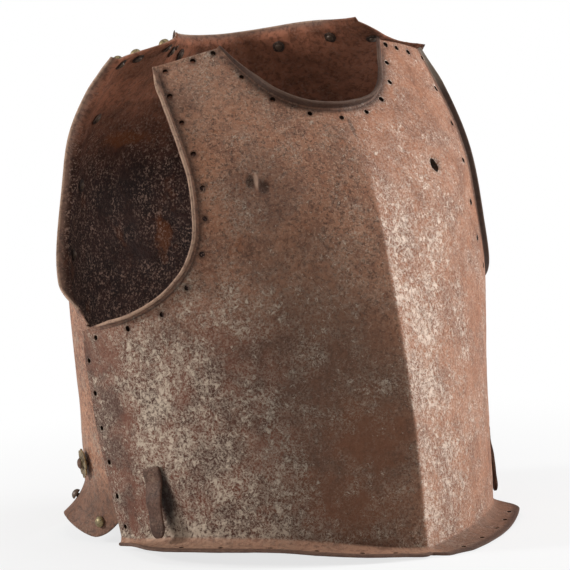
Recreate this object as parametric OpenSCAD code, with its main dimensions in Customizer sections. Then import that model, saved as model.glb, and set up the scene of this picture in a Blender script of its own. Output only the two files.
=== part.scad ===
// Cuirass of two plates: a heavy ridged breastplate that laps over the side edges of a lighter backplate.
// The wearer faces -Y, so the wearer's right side is at -X. The lowest edges stand on the plane Z = 0.
// Each plate is a sheet bent over horizontal sections. A section runs from the centre line (t = 0) to the
// side edge (t = 1), and its measures are read at five equal steps of height above the waist.

/* [Sections] */
// Height between two of the five measuring levels
level_step = 100; // [95:1:105]
// Height of the breastplate's waist above the ground
waist_h = 11; // [9:0.5:13]

/* [Breastplate] */
// Thickness of the breastplate
breast_t = 4; // [3:0.5:4.5]
// Half width at the waist
waist_half = 171; // [160:1:185]
// Half width at the belly
belly_half = 181; // [170:1:190]
// Half width at the chest
chest_half = 189; // [180:1:198]
// Half width at the upper chest
upper_half = 180; // [170:1:190]
// Half width at the level of the neck
top_half = 153; // [145:1:162]
// How far the ridge stands in front of the wearer's middle at the waist
waist_ridge = 211; // [195:1:225]
// Ridge at the belly
belly_ridge = 200; // [185:1:212]
// Ridge at the chest
chest_ridge = 178; // [165:1:190]
// Ridge at the upper chest
upper_ridge = 144; // [132:1:155]
// Front of the sections at the level of the neck
top_ridge = 72; // [62:1:84]
// Angle by which the front falls back from the ridge at the waist
ridge_fall = 26; // [20:0.5:30]
// Angle of the side edge to the front
side_angle = 84.7; // [82:0.1:88]
// Height of the armpit corner above the waist
armpit_h = 170; // [165:1:178]
// Height at which the armhole cuts deepest into the breastplate
armhole_mid_h = 256; // [245:1:270]
// How far across the section the armhole leaves metal at its deepest
armhole_mid = 0.53; // [0.5:0.01:0.58]
// Height of the outer corner of the shoulder
shoulder_h = 384; // [376:1:390]
// Place of the shoulder's outer corner across the section
shoulder_end = 0.65; // [0.62:0.01:0.7]
// Height of the neck corner
neck_corner_h = 396; // [390:1:402]
// Place of the neck corner across the section
neck_corner = 0.38; // [0.35:0.01:0.41]
// Height of the neck opening at the ridge
neck_h = 341; // [334:1:348]
// How far the edge is turned out at the neck and armholes
lip_h = 6.5; // [5:0.5:8]
// Thickness of the turned-out edge at its rim
lip_t = 2.6; // [2:0.1:3]

/* [Waist flange] */
// How far the waist bend dips at the ridge
waist_dip = 5; // [3:0.5:7]
// How far the waist bend rises towards the hips
waist_rise = 5; // [3:0.5:7]
// How far the flange stands out at the ridge
flange_front = 16; // [10:0.5:20]
// How far the flange stands out at the hips
flange_hip = 22; // [16:0.5:25]
// How far the flange drops below the bend at the hips
flange_drop = 5.5; // [4:0.5:7]

/* [Lining holes] */
// Diameter of the holes that held the lining rivets
lining_hole_d = 3.8; // [3:0.1:4.4]
// Distance of those holes from the edge or from the foot of the turned edge
lining_inset = 6; // [5:0.5:8]
// Lining holes along one armhole
armhole_holes = 10; // [6:1:12]
// Lining holes along one side edge
side_holes = 6; // [3:1:8]
// Lining holes along one half of the neck
neck_holes = 5; // [3:1:6]
// Lining holes along one shoulder
shoulder_holes = 3; // [2:1:4]
// Lining holes along one half of the waist flange
flange_holes = 6; // [4:1:8]
// Diameter of the shot hole in the left breast
shot_d = 9; // [6:0.5:11]

/* [Backplate] */
// Thickness of the backplate
back_t = 2.8; // [2:0.1:3.5]
// Gap between the two plates where they lap at the sides
side_gap = 2.2; // [2:0.1:2.6]
// Length of the lap at the sides
side_lap = 13; // [9:1:16]
// Depth of the back behind the wearer's middle at the waist
waist_depth = 146; // [138:1:152]
// Depth in the small of the back
lumbar_depth = 130; // [122:1:138]
// Depth under the shoulder blades
blade_depth = 126; // [118:1:134]
// Depth at the shoulder blades
upper_depth = 128; // [120:1:136]
// Depth at the level of the neck
nape_depth = 88; // [80:1:96]
// How far the tops of the shoulders lean forward
shoulder_lean = 72; // [64:1:76]
// Height where the shoulders start to lean
lean_h = 290; // [280:1:300]
// Height of the backplate's waist bend above that of the breastplate
back_waist_h = 34; // [30:1:38]
// How far the skirt flares out
skirt_flare = 20; // [15:1:24]
// How far the skirt's lower edge rises towards the hips
skirt_lift = 7; // [4:0.5:10]
// Width of the turned-out edge at the armholes
back_flange_w = 10; // [7:0.5:12]
// Thickness of that edge at its rim
back_rim_t = 2; // [1.5:0.1:2.5]
// Height of the back's armpit corner
back_armpit_h = 170; // [164:1:176]
// Height at which the armhole cuts deepest into the backplate
back_mid_h = 292; // [280:1:300]
// How far across the section that armhole leaves metal at its deepest
back_mid = 0.64; // [0.6:0.01:0.68]
// Height of the outer corner of the back's shoulder
back_shoulder_h = 393; // [388:1:397]
// Place of that corner across the section
back_shoulder = 0.85; // [0.81:0.01:0.87]
// Height of the back's neck corner
back_corner_h = 413; // [407:1:416]
// Place of that corner across the section
back_corner = 0.44; // [0.41:0.01:0.48]
// Height of the neck edge at the spine
nape_h = 397; // [390:1:401]
// How far the top edge of the shoulders sags between its corners
shoulder_sag = 4; // [2:0.5:6]

/* [Rivets] */
// Diameter of the shank of the strap and lining rivets
shank_d = 3.8; // [3:0.1:4.5]
// Diameter of their domed heads
head_d = 9.5; // [8:0.5:11]
// Height of their domed heads
head_h = 4.4; // [3:0.1:5]
// Diameter of the washers on the inside
washer_d = 10.5; // [9:0.5:12]
// Thickness of those washers
washer_t = 1; // [0.8:0.1:1.4]

/* [Rosettes] */
// Diameter of the washer rosettes at the hips
rosette_d = 25; // [22:1:28]
// Petals of a rosette
petals = 8; // [6:1:12]
// Height of a rosette above the backplate, where the lost strap lay
strap_gap = 3; // [2:0.5:4]
// Running clearance round the rosette's rivet
rosette_play = 0.08; // [0.05:0.01:0.1]

/* [Belt hooks] */
// Width of a belt hook
hook_w = 15; // [12:0.5:18]
// Length of a belt hook
hook_len = 51; // [46:1:56]
// Thickness of a belt hook
hook_t = 3.2; // [2.5:0.1:4]
// How far the tip of a belt hook stands off the breastplate
hook_reach = 11; // [8:0.5:13]
// Place of the hooks across the breastplate's section
hook_place = 0.79; // [0.76:0.01:0.82]
// Height of a hook's foot above the waist
hook_h = 54; // [50:1:60]
// Angle by which the tip of a hook is turned towards the front
hook_turn = 13; // [8:1:16]

/* [Hidden] */

iron = "#7a5546";
pale_iron = "#93705c";
dark_iron = "#4c3a33";
brass = "#8d8468";

seat = 0.5;
skirt_seat = 1;
hole_play = 0.12;
smooth = 24;
drill_len = 30;

// Measures of the breastplate at the five levels
half_width = [waist_half, belly_half, chest_half, upper_half, top_half];
ridge_y = [waist_ridge, belly_ridge, chest_ridge, upper_ridge, top_ridge];
side_y = [15, -2, -2, 2, -22];
fall = ridge_fall * [1, 0.98, 0.79, 0.5, 0.54];
breast_pull = [0.42, 0.40];

// Measures of the backplate at the five levels
lap_inside = breast_t + side_gap;
back_top_extra = [0, 0, 0, 0, 3];
back_half = [for (w = half_width) w - lap_inside] + back_top_extra;
back_y = [waist_depth, lumbar_depth, blade_depth, upper_depth, nape_depth];
back_side_y = [for (y = side_y) -y - side_lap];
back_pull = 0.42;
back_side_pull = [0.93, 0.81, 0.77, 0.78, 0.78];
back_bulge = 8.5;

// The skirt of the backplate reaches down to the ground, and its front corners are cut away
skirt_drop = back_waist_h + waist_h - 0.6 * back_rim_t;
centre_y = (waist_ridge + flange_front - waist_depth - skirt_flare) / 2;

// Part of a section that the turned edge takes at the side, and the radius of the turn
edge_share = 0.02;
lip_r = 2.2;

// Length of the flange's rows in the height of the sections, and the part of them that lies level at the rim
flange_step = 10;
level_rim = 0.25;

// How far along an edge its curve is led up or down at the corners
breast_armpit_run = 8;
breast_shoulder_run = 40;
back_armpit_run = 6;
back_low_run = 55;
back_high_run = 30;
back_shoulder_run = 45;

function clamp(v, low, high) = min(max(v, low), high);
function ease(a, b, x) = let (u = clamp((x - a) / (b - a), 0, 1)) u * u * (3 - 2 * u);
function mix(a, b, u) = a * (1 - u) + b * u;
function unit(v) = v / norm(v);
function bezier(a, b, c, d, u) =
    pow(1 - u, 3) * a + 3 * pow(1 - u, 2) * u * b + 3 * (1 - u) * u * u * c + u * u * u * d;

// A measure at height h, carried smoothly through the values at the five levels
function knot(v, i) = v[clamp(i, 0, len(v) - 1)];
function measure(v, h) =
    let (
        u = h / level_step,
        i = clamp(floor(u), 0, len(v) - 2),
        f = u - i,
        a = knot(v, i),
        b = knot(v, i + 1),
        start = i == 0 ? b - a : (b - knot(v, i - 1)) / 2,
        end = i == len(v) - 2 ? b - a : (knot(v, i + 2) - a) / 2
    )
    a + (b - a) * (3 - 2 * f) * f * f + start * f * (1 - f) * (1 - f) - end * f * f * (1 - f);

// Outer face of the breastplate above the waist bend
function breast_wall(t, h) =
    let (
        w = measure(half_width, h),
        r = measure(ridge_y, h),
        s = measure(side_y, h),
        a = measure(fall, h),
        chord = norm([w, r - s]),
        p0 = [0, -r],
        p3 = [w, -s],
        p1 = p0 + breast_pull[0] * chord * [cos(a), sin(a)],
        p2 = p3 - breast_pull[1] * chord * [cos(side_angle), sin(side_angle)],
        q = bezier(p0, p1, p2, p3, t)
    )
    [q[0], q[1] + centre_y, h + waist_h];

// Height of the waist bend along the section, from its dip at the ridge to the hips, and the wall above it
function waist_bend(t) = mix(-waist_dip, waist_rise, ease(0, 0.5, t) * mix(1, 0.5, ease(0.6, 1, t)));
function above_bend(t, h) = h + waist_bend(t) * (1 - ease(0, level_step, h));

// Width of the waist flange along the section: widest at the hips and next to nothing at the sides
function flange_out(t) = mix(flange_front, flange_hip, ease(0.02, 0.2, t)) * mix(1, 0.1, ease(0.72, 0.99, t));

// Drop of the flange below the bend. In front its rim lies on the ground, and it rises towards the hips.
function flange_fall(t) =
    mix(waist_h + waist_bend(t) - 0.85 * lip_t, flange_drop, ease(0.3, 0.55, t));

// Horizontal direction square to a wall, which is straight ahead or behind on the centre line
function outward(p, q, t) = unit(t == 0 ? [0, p[0] - q[0], 0] : [q[1] - p[1], p[0] - q[0], 0]);

function breast_face(t, h) =
    h >= 0 ? breast_wall(t, above_bend(t, h)) :
    let (
        f = -h / flange_step,
        b = waist_bend(t),
        n = outward(breast_wall(t - 0.01, b), breast_wall(t + 0.01, b), t),
        rest = 1 - min(f / (1 - level_rim), 1),
        down = flange_fall(t) * (1 - rest * rest)
    )
    breast_wall(t, b) + flange_out(t) * (0.3 * f + 0.7 * f * f) * n - [0, 0, down];

// Outer face of the backplate above its waist bend, with the shoulders leaning forward
function back_wall(t, h) =
    let (
        w = measure(back_half, h),
        d = measure(back_y, h),
        s = measure(back_side_y, h),
        pull = measure(back_side_pull, h) * (d - s),
        p0 = [0, d],
        p1 = [back_pull * w, d],
        p3 = [w, s],
        p2 = p3 + pull * [sin(back_bulge), cos(back_bulge)],
        q = bezier(p0, p1, p2, p3, t),
        rise = max(h - lean_h, 0) / (4 * level_step - lean_h),
        lean = shoulder_lean * rise * rise * ease(0.1, 0.55, t) * mix(1, 0.75, ease(0.45, 1, t))
    )
    [q[0], q[1] - lean + centre_y, h + waist_h];

// Below the waist bend the skirt flares, and it grows shorter towards its front corners
function back_face(t, h) =
    h >= back_waist_h ? back_wall(t, h) :
    let (
        f = (back_waist_h - h) / back_waist_h,
        n = -outward(back_wall(t - 0.01, back_waist_h), back_wall(t + 0.01, back_waist_h), t),
        flare = skirt_flare * (1 - ease(0.78, 0.94, t)),
        drop = (skirt_drop - skirt_lift * ease(0.45, 0.75, t)) * mix(1, 0.35, ease(0.89, 1, t))
    )
    back_wall(t, back_waist_h - drop * f) + flare * (0.35 * f + 0.65 * f * f) * n;

// Outward unit normal of a face: kind 0 is the breastplate and kind 1 the backplate
function face(kind, t, h) = kind == 0 ? breast_face(t, h) : back_face(t, h);
function normal(kind, t, h) =
    let (
        e = 0.002,
        across = face(kind, t + e, h) - face(kind, t - e, h),
        up = face(kind, t, h + 1) - face(kind, t, h - 1),
        n = unit(kind == 0 ? cross(across, up) : cross(up, across))
    )
    t == 0 ? unit([0, n[1], n[2]]) : n;

// Outlines in section place and height. The neck runs from the centre to its corner,
// the armhole from the armpit to its deepest point and on to the shoulder.
edge_t = 1 - edge_share;
function neck_line(u) = bezier(
    [0, neck_h], [0.59 * neck_corner, neck_h],
    [neck_corner - 0.11, mix(neck_corner_h, neck_h, 0.5)], [neck_corner, neck_corner_h], u);
function low_armhole(u) = bezier(
    [edge_t, armpit_h], [0.75, armpit_h + breast_armpit_run],
    [armhole_mid, mix(armhole_mid_h, armpit_h, 0.58)], [armhole_mid, armhole_mid_h], u);
function high_armhole(u) = bezier(
    [armhole_mid, armhole_mid_h], [armhole_mid, mix(armhole_mid_h, shoulder_h, 0.45)],
    [mix(shoulder_end, armhole_mid, 0.3), shoulder_h - breast_shoulder_run], [shoulder_end, shoulder_h], u);
function back_neck_line(u) = [back_corner * u, mix(nape_h, back_corner_h, u * u)];
function back_low_armhole(u) = bezier(
    [edge_t, back_armpit_h], [0.92, back_armpit_h + back_armpit_run],
    [back_mid, back_mid_h - back_low_run], [back_mid, back_mid_h], u);
function back_high_armhole(u) = bezier(
    [back_mid, back_mid_h], [back_mid, back_mid_h + back_high_run],
    [back_shoulder - 0.01, back_shoulder_h - back_shoulder_run], [back_shoulder, back_shoulder_h], u);

// Rows of a half plate, from the ground to the shoulder. Each row is
// [inner end, outer end, how far the neck edge is turned, how far the armhole edge is turned, sag between].
flange_rows = 4;
wall_rows = 8;
low_rows = 10;
high_rows = 11;
centre_row = flange_rows + wall_rows + low_rows;
breast_rows = concat(
    [for (k = [flange_rows:-1:1])
        let (h = -flange_step * k / flange_rows)
        [[0, h], [edge_t, h], 0, 0, 0]],
    [for (k = [0:wall_rows - 1])
        let (u = k / wall_rows)
        [[0, u * armpit_h * 1.15], [edge_t, u * armpit_h], 0, 0, 0]],
    [for (k = [0:low_rows])
        let (u = k / low_rows)
        [[0, mix(armpit_h * 1.15, neck_h, u)], low_armhole(u), u < 1 ? 0 : 1, ease(-0.02, 0.3, u), 0]],
    [for (k = [1:high_rows])
        let (u = k / high_rows)
        [neck_line(u), high_armhole(u), mix(1, 0.5, ease(0.85, 1, u)), mix(1, 0.4, ease(0.85, 1, u)), 0]]
);
back_rows = concat(
    [for (k = [flange_rows:-1:1])
        let (h = back_waist_h * (1 - k / flange_rows))
        [[0, h], [edge_t, h], 0, 0, 0]],
    [for (k = [0:wall_rows - 1])
        let (u = k / wall_rows)
        [
            [0, mix(back_waist_h, back_armpit_h * 1.15, u)],
            [edge_t, mix(back_waist_h, back_armpit_h, u)], 0, 0, 0
        ]],
    [for (k = [0:low_rows])
        let (u = k / low_rows)
        [[0, mix(back_armpit_h * 1.15, nape_h, u)], back_low_armhole(u), u < 1 ? 0 : 0.55,
            0.9 * ease(0.12, 0.45, u), 0]],
    [for (k = [1:high_rows])
        let (u = k / high_rows)
        [back_neck_line(u), back_high_armhole(u), mix(0.55, 0.05, ease(0.6, 1, u)),
            mix(0.9, 0.6, ease(0.85, 1, u)), shoulder_sag * u * u]]
);
across = 15;
turns = 4;

// Direction along an edge of the plate, between the rows next to it
function edge_run(kind, rows, j, side) =
    let (
        a = rows[max(j - 1, 0)][side],
        b = rows[min(j + 1, len(rows) - 1)][side],
        p = face(kind, a[0], a[1]),
        q = face(kind, b[0], b[1])
    )
    side == 0 && j <= centre_row ? [1, 0, 0] : unit(q - p);

// A point of the turned edge and its normal. The edge is rolled round lip_r and then stands straight.
function turned(p, n, m, k, amount, height) =
    let (
        full = 90 * amount,
        arc = lip_r * full * PI / 180,
        reach = k / turns * (lip_r * PI / 2 + (height - lip_r) * sqrt(amount)),
        swept = amount == 0 ? 0 : min(reach, arc) / lip_r * 180 / PI,
        rest = reach - (amount == 0 ? 0 : min(reach, arc)),
        q = p + lip_r * sin(swept) * m + lip_r * (1 - cos(swept)) * n
    )
    [q + rest * (cos(swept) * m + sin(swept) * n), n * cos(swept) - m * sin(swept)];

// One row as [point, normal, thickness] from the end of the neck edge to the end of the armhole edge
function plate_row(kind, rows, j, wall, rim, height) =
    let (
        row = rows[j],
        a = row[0],
        b = row[1],
        inner = face(kind, a[0], a[1]),
        inner_n = normal(kind, a[0], a[1]),
        outer = face(kind, b[0], b[1]),
        outer_n = normal(kind, b[0], b[1]),
        inner_m = unit(cross(inner_n, edge_run(kind, rows, j, 0)) * (kind == 0 ? -1 : 1)),
        outer_m = unit(cross(edge_run(kind, rows, j, 1), outer_n) * (kind == 0 ? 1 : -1)),
        up = inner_m[2] < 0 && j >= centre_row ? -1 : 1,
        thick = mix(rim, wall, min(j / flange_rows, 1))
    )
    concat(
        j < centre_row ? [for (k = [1:turns]) [inner, inner_n, thick]] :
            [for (k = [turns:-1:1])
                concat(turned(inner, inner_n, up * inner_m, k, row[2], height), [mix(wall, rim, k / turns)])],
        [for (i = [0:across])
            let (f = i / across, t = mix(a[0], b[0], f), h = mix(a[1], b[1], f) - 4 * row[4] * f * (1 - f))
            [face(kind, t, h), normal(kind, t, h), thick]],
        [for (k = [1:turns])
            let (
                e = edge_share * k / turns,
                flat = face(kind, b[0] + e, b[1]),
                bent = turned(outer, outer_n, outer_m, k, 1, height)
            )
            row[3] == 0 ? [flat, normal(kind, b[0] + e, b[1]), thick] :
                concat(
                    turned(outer, outer_n, outer_m, k, row[3], height),
                    [mix(wall, rim, row[3] * k / turns)]
                )]
    );
function on_ground(p) = [p[0], p[1], max(p[2], 0)];
function plate_grid(kind, rows, wall, rim, height) =
    [for (j = [0:len(rows) - 1]) plate_row(kind, rows, j, wall, rim, height)];

// A half plate and its mirror image as one closed skin. The halves share the points on the centre line.
module plate(grid, turn) {
    rows = len(grid);
    cols = len(grid[0]);
    centre = turns;
    count = rows * cols;
    function shell(side, inside) =
        [for (row = grid) for (q = row)
            let (p = on_ground(inside ? q[0] - q[1] * q[2] : q[0]))
            [side * p[0] + 0, p[1], p[2]]];
    points = concat(shell(1, false), shell(1, true), shell(-1, false), shell(-1, true));
    cells = [for (j = [0:rows - 2]) for (i = [j < centre_row ? centre : 0:cols - 2]) [j, i]];
    function at(j, i, layer) = layer * count + j * cols + i;
    function skin(layer, flip) =
        [for (c = cells)
            let (
                a = at(c[0], c[1], layer),
                b = at(c[0], c[1] + 1, layer),
                d = at(c[0] + 1, c[1] + 1, layer),
                e = at(c[0] + 1, c[1], layer)
            )
            each flip ? [[a, d, b], [a, e, d]] : [[a, b, d], [a, d, e]]];
    function strip(path, layer, flip) =
        [for (k = [0:len(path) - 2])
            let (
                a = at(path[k][0], path[k][1], layer),
                b = at(path[k + 1][0], path[k + 1][1], layer),
                c = b + count,
                d = a + count
            )
            each flip ? [[a, b, c], [a, c, d]] : [[a, c, b], [a, d, c]]];
    rim = concat(
        [for (i = [centre:cols - 1]) [0, i]],
        [for (j = [1:rows - 1]) [j, cols - 1]],
        [for (i = [cols - 2:-1:0]) [rows - 1, i]],
        [for (j = [rows - 2:-1:centre_row]) [j, 0]]
    );
    faces = concat(
        skin(0, turn), skin(1, !turn), strip(rim, 0, turn),
        skin(2, !turn), skin(3, turn), strip(rim, 2, !turn)
    );
    polyhedron(points, faces, convexity = 10);
}

// Puts its children on a face at place p with the Z axis along n and the Y axis up the plate
module seated(p, n, side = 1) {
    x = unit(cross([0, 0, 1], n));
    y = cross(n, x);
    mirror([side < 0 ? 1 : 0, 0, 0])
        multmatrix([
            [x[0], y[0], n[0], p[0]],
            [x[1], y[1], n[1], p[1]],
            [x[2], y[2], n[2], p[2]],
            [0, 0, 0, 1]
        ])
            children();
}
module on_plate(kind, place, side = 1) {
    seated(face(kind, place[0], place[1]), normal(kind, place[0], place[1]), side) children();
}
module drill(d) {
    cylinder(d = d, h = drill_len, center = true, $fn = smooth);
}

// A lining hole at an even step along an edge, set in from it over the face
function inset_place(line, u) =
    let (
        a = line(u),
        b = line(u + 0.01),
        c = line(u - 0.01),
        p = face(0, a[0], a[1]),
        n = normal(0, a[0], a[1]),
        run = unit(face(0, b[0], b[1]) - face(0, c[0], c[1])),
        m = cross(run, n)
    )
    [p, n, m];
module lining_hole(line, u, inward) {
    q = inset_place(line, u);
    both() seated(q[0] + inward * lining_inset * q[2], q[1]) drill(lining_hole_d);
}
module both() {
    children();
    mirror([1, 0, 0]) children();
}

function side_line(u) = [1, u * armpit_h];
function shoulder_line(u) = mix([neck_corner, neck_corner_h], [shoulder_end, shoulder_h], u);

module lining_holes() {
    for (k = [0:neck_holes - 1])
        lining_hole(function (u) neck_line(u), (k + 1) / (neck_holes + 0.4), 1);
    on_plate(0, [0, neck_h - lining_inset]) drill(lining_hole_d);
    for (k = [0:shoulder_holes - 1])
        lining_hole(function (u) shoulder_line(u), (k + 0.5) / shoulder_holes, 1);
    low = round(armhole_holes / 2);
    for (k = [0:low - 1])
        lining_hole(function (u) low_armhole(u), (k + 0.4) / low, -1);
    for (k = [0:armhole_holes - low - 1])
        lining_hole(function (u) high_armhole(u), (k + 0.3) / (armhole_holes - low), -1);
    for (k = [0:side_holes - 1])
        lining_hole(function (u) side_line(u), (k + 0.2) / side_holes, -1);
    for (k = [0:flange_holes - 1])
        let (t = 0.12 + 0.72 * k / (flange_holes - 1))
        both() on_plate(0, [t, -flange_step * 0.6]) drill(lining_hole_d);
}

hook_foot = [hook_place, hook_h];
shot_place = [0.32, 291];

module breastplate() {
    color(iron)
        difference() {
            plate(plate_grid(0, breast_rows, breast_t, lip_t, lip_h), true);
            lining_holes();
            on_plate(0, shot_place) drill(shot_d);
            both() on_plate(0, hook_foot) drill(hook_tenon_d + 2 * hole_play);
        }
}

// Rivets of the backplate: places across the section and heights, each set in from the edge next to it
rivet_inset = 8;
armhole_rivets = [
    [back_mid - 0.004, mix(back_mid_h, back_shoulder_h, 0.5)],
    [back_mid - 0.037, back_mid_h - rivet_inset],
    [back_mid + 0.05, mix(back_armpit_h, back_mid_h, 0.47)]
];
function by_shoulder(u) =
    let (sag = 4 * shoulder_sag * u * (1 - u))
    [mix(back_corner, back_shoulder, u), mix(back_corner_h, back_shoulder_h, u) - sag - rivet_inset];
shoulder_rivets = [by_shoulder(0.82), by_shoulder(0.49), by_shoulder(0.17)];
function by_neck(u) = back_neck_line(u) - [0, rivet_inset];
neck_rivet_places = [by_neck(0.59), by_neck(0.89)];
nape_rivet = by_neck(0);
skirt_rivets = [[0.85, 0.32 * back_waist_h], [0.7, 0.59 * back_waist_h]];
rosette_rise = 20;
rosette_place = [0.82, back_waist_h + rosette_rise];
nail_place = back_neck_line(0.92) - [0, rivet_inset / 3];

module back_hole(place, d) {
    both() on_plate(1, place) drill(d);
}
module backplate() {
    color(pale_iron)
        difference() {
            plate(plate_grid(1, back_rows, back_t, back_rim_t, back_flange_w), false);
            for (q = concat(armhole_rivets, shoulder_rivets, neck_rivet_places, skirt_rivets))
                back_hole(q, shank_d + 2 * hole_play);
            back_hole(rosette_place, rosette_shank_d + 2 * hole_play);
            on_plate(1, nape_rivet) drill(shank_d + 2 * hole_play);
            on_plate(1, nail_place, -1) drill(nail_d + 2 * hole_play);
        }
}

// Half profile of a domed head of radius r and height h, above the plane z
function dome(r, h, z) = [for (a = [0:15:90]) [r * cos(a), z + h * sin(a)]];

// A rivet driven from outside, with its end spread over a washer. Its head lies lift above the face.
module rivet(through, lift = seat) {
    r = shank_d / 2;
    end = -through;
    rotate_extrude($fn = smooth)
        polygon(concat(
            [[0, end - 1.4], [r + 0.5, end - 1.2], [r + 1, end - 0.6], [r + 1, end], [r, end], [r, lift]],
            dome(head_d / 2, head_h, lift)
        ));
}
module washer() {
    translate([0, 0, -back_t - seat - washer_t])
        difference() {
            cylinder(d = washer_d, h = washer_t, $fn = smooth);
            cylinder(d = shank_d + 2 * hole_play, h = 3 * washer_t, center = true, $fn = smooth);
        }
}
module rivet_row(places, side) {
    color(brass)
        for (q = places)
            on_plate(1, q, side) rivet(back_t + seat + washer_t);
}
module washer_row(places, side) {
    color(dark_iron)
        for (q = places)
            on_plate(1, q, side) washer();
}

module right_armhole_rivets() rivet_row(armhole_rivets, -1);
module left_armhole_rivets() rivet_row(armhole_rivets, 1);
module right_armhole_washers() washer_row(armhole_rivets, -1);
module left_armhole_washers() washer_row(armhole_rivets, 1);
module right_shoulder_rivets() rivet_row(shoulder_rivets, -1);
module left_shoulder_rivets() rivet_row(shoulder_rivets, 1);
module right_shoulder_washers() washer_row(shoulder_rivets, -1);
module left_shoulder_washers() washer_row(shoulder_rivets, 1);
module neck_rivets() {
    rivet_row(concat(neck_rivet_places, [nape_rivet]), 1);
    rivet_row(neck_rivet_places, -1);
}
module neck_washers() {
    washer_row(concat(neck_rivet_places, [nape_rivet]), 1);
    washer_row(neck_rivet_places, -1);
}

// The skirt rivets are spread straight against the plate, with no washer
module skirt_rivet_row(side) {
    color(brass)
        for (q = skirt_rivets)
            on_plate(1, q, side) rivet(back_t + skirt_seat, skirt_seat);
}
module right_skirt_rivets() skirt_rivet_row(-1);
module left_skirt_rivets() skirt_rivet_row(1);

// Washer rosette: a petalled disc with a boss, loose on the rivet that once held a strap under it
rosette_shank_d = 5;
rosette_t = 1.8;
boss_h = 3;
module rosette(side) {
    petal_r = rosette_d * 0.15;
    color(brass)
        on_plate(1, rosette_place, side)
            translate([0, 0, strap_gap])
                difference() {
                    union() {
                        cylinder(d = rosette_d * 0.72, h = rosette_t, $fn = smooth);
                        cylinder(d = rosette_d * 0.4, h = boss_h, $fn = smooth);
                        for (k = [0:petals - 1])
                            rotate(k * 360 / petals)
                                translate([rosette_d / 2 - petal_r, 0, 0])
                                    cylinder(r = petal_r, h = rosette_t, $fn = smooth);
                    }
                    cylinder(d = rosette_shank_d + 2 * rosette_play, h = 4 * boss_h, center = true, $fn = 48);
                }
}
module right_rosette() rosette(-1);
module left_rosette() rosette(1);

module rosette_rivet(side) {
    r = rosette_shank_d / 2;
    end = -back_t - 2 * seat;
    top = strap_gap + boss_h + rosette_play;
    color(dark_iron)
        on_plate(1, rosette_place, side)
            rotate_extrude($fn = 48)
                polygon(concat(
                    [
                        [0, end - 1.8], [r + 0.9, end - 1.6], [r + 1.6, end - 0.8],
                        [r + 1.6, end], [r, end], [r, top]
                    ],
                    dome(r + 2, 2.4, top)
                ));
}
module right_rosette_rivet() rosette_rivet(-1);
module left_rosette_rivet() rosette_rivet(1);

// Belt hook: a tongue that leaves the plate at its foot and points down, with a tenon spread inside the plate
hook_tenon_d = 4.6;
foot_len = 12;
module hook_outline() {
    r = hook_w / 2;
    translate([-r, -hook_len + r]) square([hook_w, hook_len + foot_len / 2 - r]);
    translate([0, -hook_len + r]) circle(r, $fn = smooth);
}
module belt_hook(side) {
    half_foot = foot_len / 2;
    color(iron)
        on_plate(0, hook_foot, side) rotate(-hook_turn) {
            intersection() {
                translate([-hook_w, 0, 0])
                    rotate([90, 0, 90])
                        linear_extrude(2 * hook_w)
                            polygon([
                                [half_foot, seat], [half_foot, seat + hook_t],
                                [-half_foot, seat + hook_t * 1.2], [-hook_len, hook_reach + hook_t],
                                [-hook_len, hook_reach], [-half_foot, seat]
                            ]);
                translate([0, 0, -1]) linear_extrude(3 * hook_reach) hook_outline();
            }
            translate([0, 0, -breast_t - seat])
                cylinder(d = hook_tenon_d, h = breast_t + 3 * seat, $fn = smooth);
            translate([0, 0, -breast_t - seat - 1.6])
                cylinder(d1 = hook_tenon_d + 1, d2 = hook_tenon_d + 3.4, h = 1.6, $fn = smooth);
        }
}
module right_belt_hook() belt_hook(-1);
module left_belt_hook() belt_hook(1);

// Stump of a nail that stands up from the back's neck corner
nail_d = 2.6;
nail_h = 8.6;
module broken_strap_nail() {
    color(dark_iron)
        on_plate(1, nail_place, -1)
            rotate_extrude($fn = smooth)
                polygon([
                    [0, -back_t - seat - 1.2], [nail_d, -back_t - seat - 1], [nail_d, -back_t - seat],
                    [nail_d / 2, -back_t - seat], [nail_d / 2, 0.5 * nail_h],
                    [0.3 * nail_d, 0.93 * nail_h], [0, nail_h]
                ]);
}

breastplate();
backplate();
right_belt_hook();
left_belt_hook();
right_armhole_rivets();
left_armhole_rivets();
right_armhole_washers();
left_armhole_washers();
right_shoulder_rivets();
left_shoulder_rivets();
right_shoulder_washers();
left_shoulder_washers();
neck_rivets();
neck_washers();
right_skirt_rivets();
left_skirt_rivets();
right_rosette();
left_rosette();
right_rosette_rivet();
left_rosette_rivet();
broken_strap_nail();
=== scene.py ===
"""Looks of a rusted two-piece cuirass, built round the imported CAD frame."""

import math

import bpy
import numpy as np
from mathutils import Matrix, Vector


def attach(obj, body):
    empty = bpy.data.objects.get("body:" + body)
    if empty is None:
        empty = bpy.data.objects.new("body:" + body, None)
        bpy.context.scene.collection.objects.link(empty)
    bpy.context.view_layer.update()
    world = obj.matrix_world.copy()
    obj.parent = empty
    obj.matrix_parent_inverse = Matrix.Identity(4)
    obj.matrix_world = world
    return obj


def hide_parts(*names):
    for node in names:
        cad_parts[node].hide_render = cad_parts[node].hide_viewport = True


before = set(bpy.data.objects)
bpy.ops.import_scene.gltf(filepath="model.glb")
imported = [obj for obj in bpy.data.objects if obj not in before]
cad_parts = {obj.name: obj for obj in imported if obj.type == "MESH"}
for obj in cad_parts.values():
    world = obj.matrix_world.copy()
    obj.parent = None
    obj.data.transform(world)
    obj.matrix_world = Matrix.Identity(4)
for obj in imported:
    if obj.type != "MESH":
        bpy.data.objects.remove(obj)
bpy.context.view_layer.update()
MM = 0.001

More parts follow.
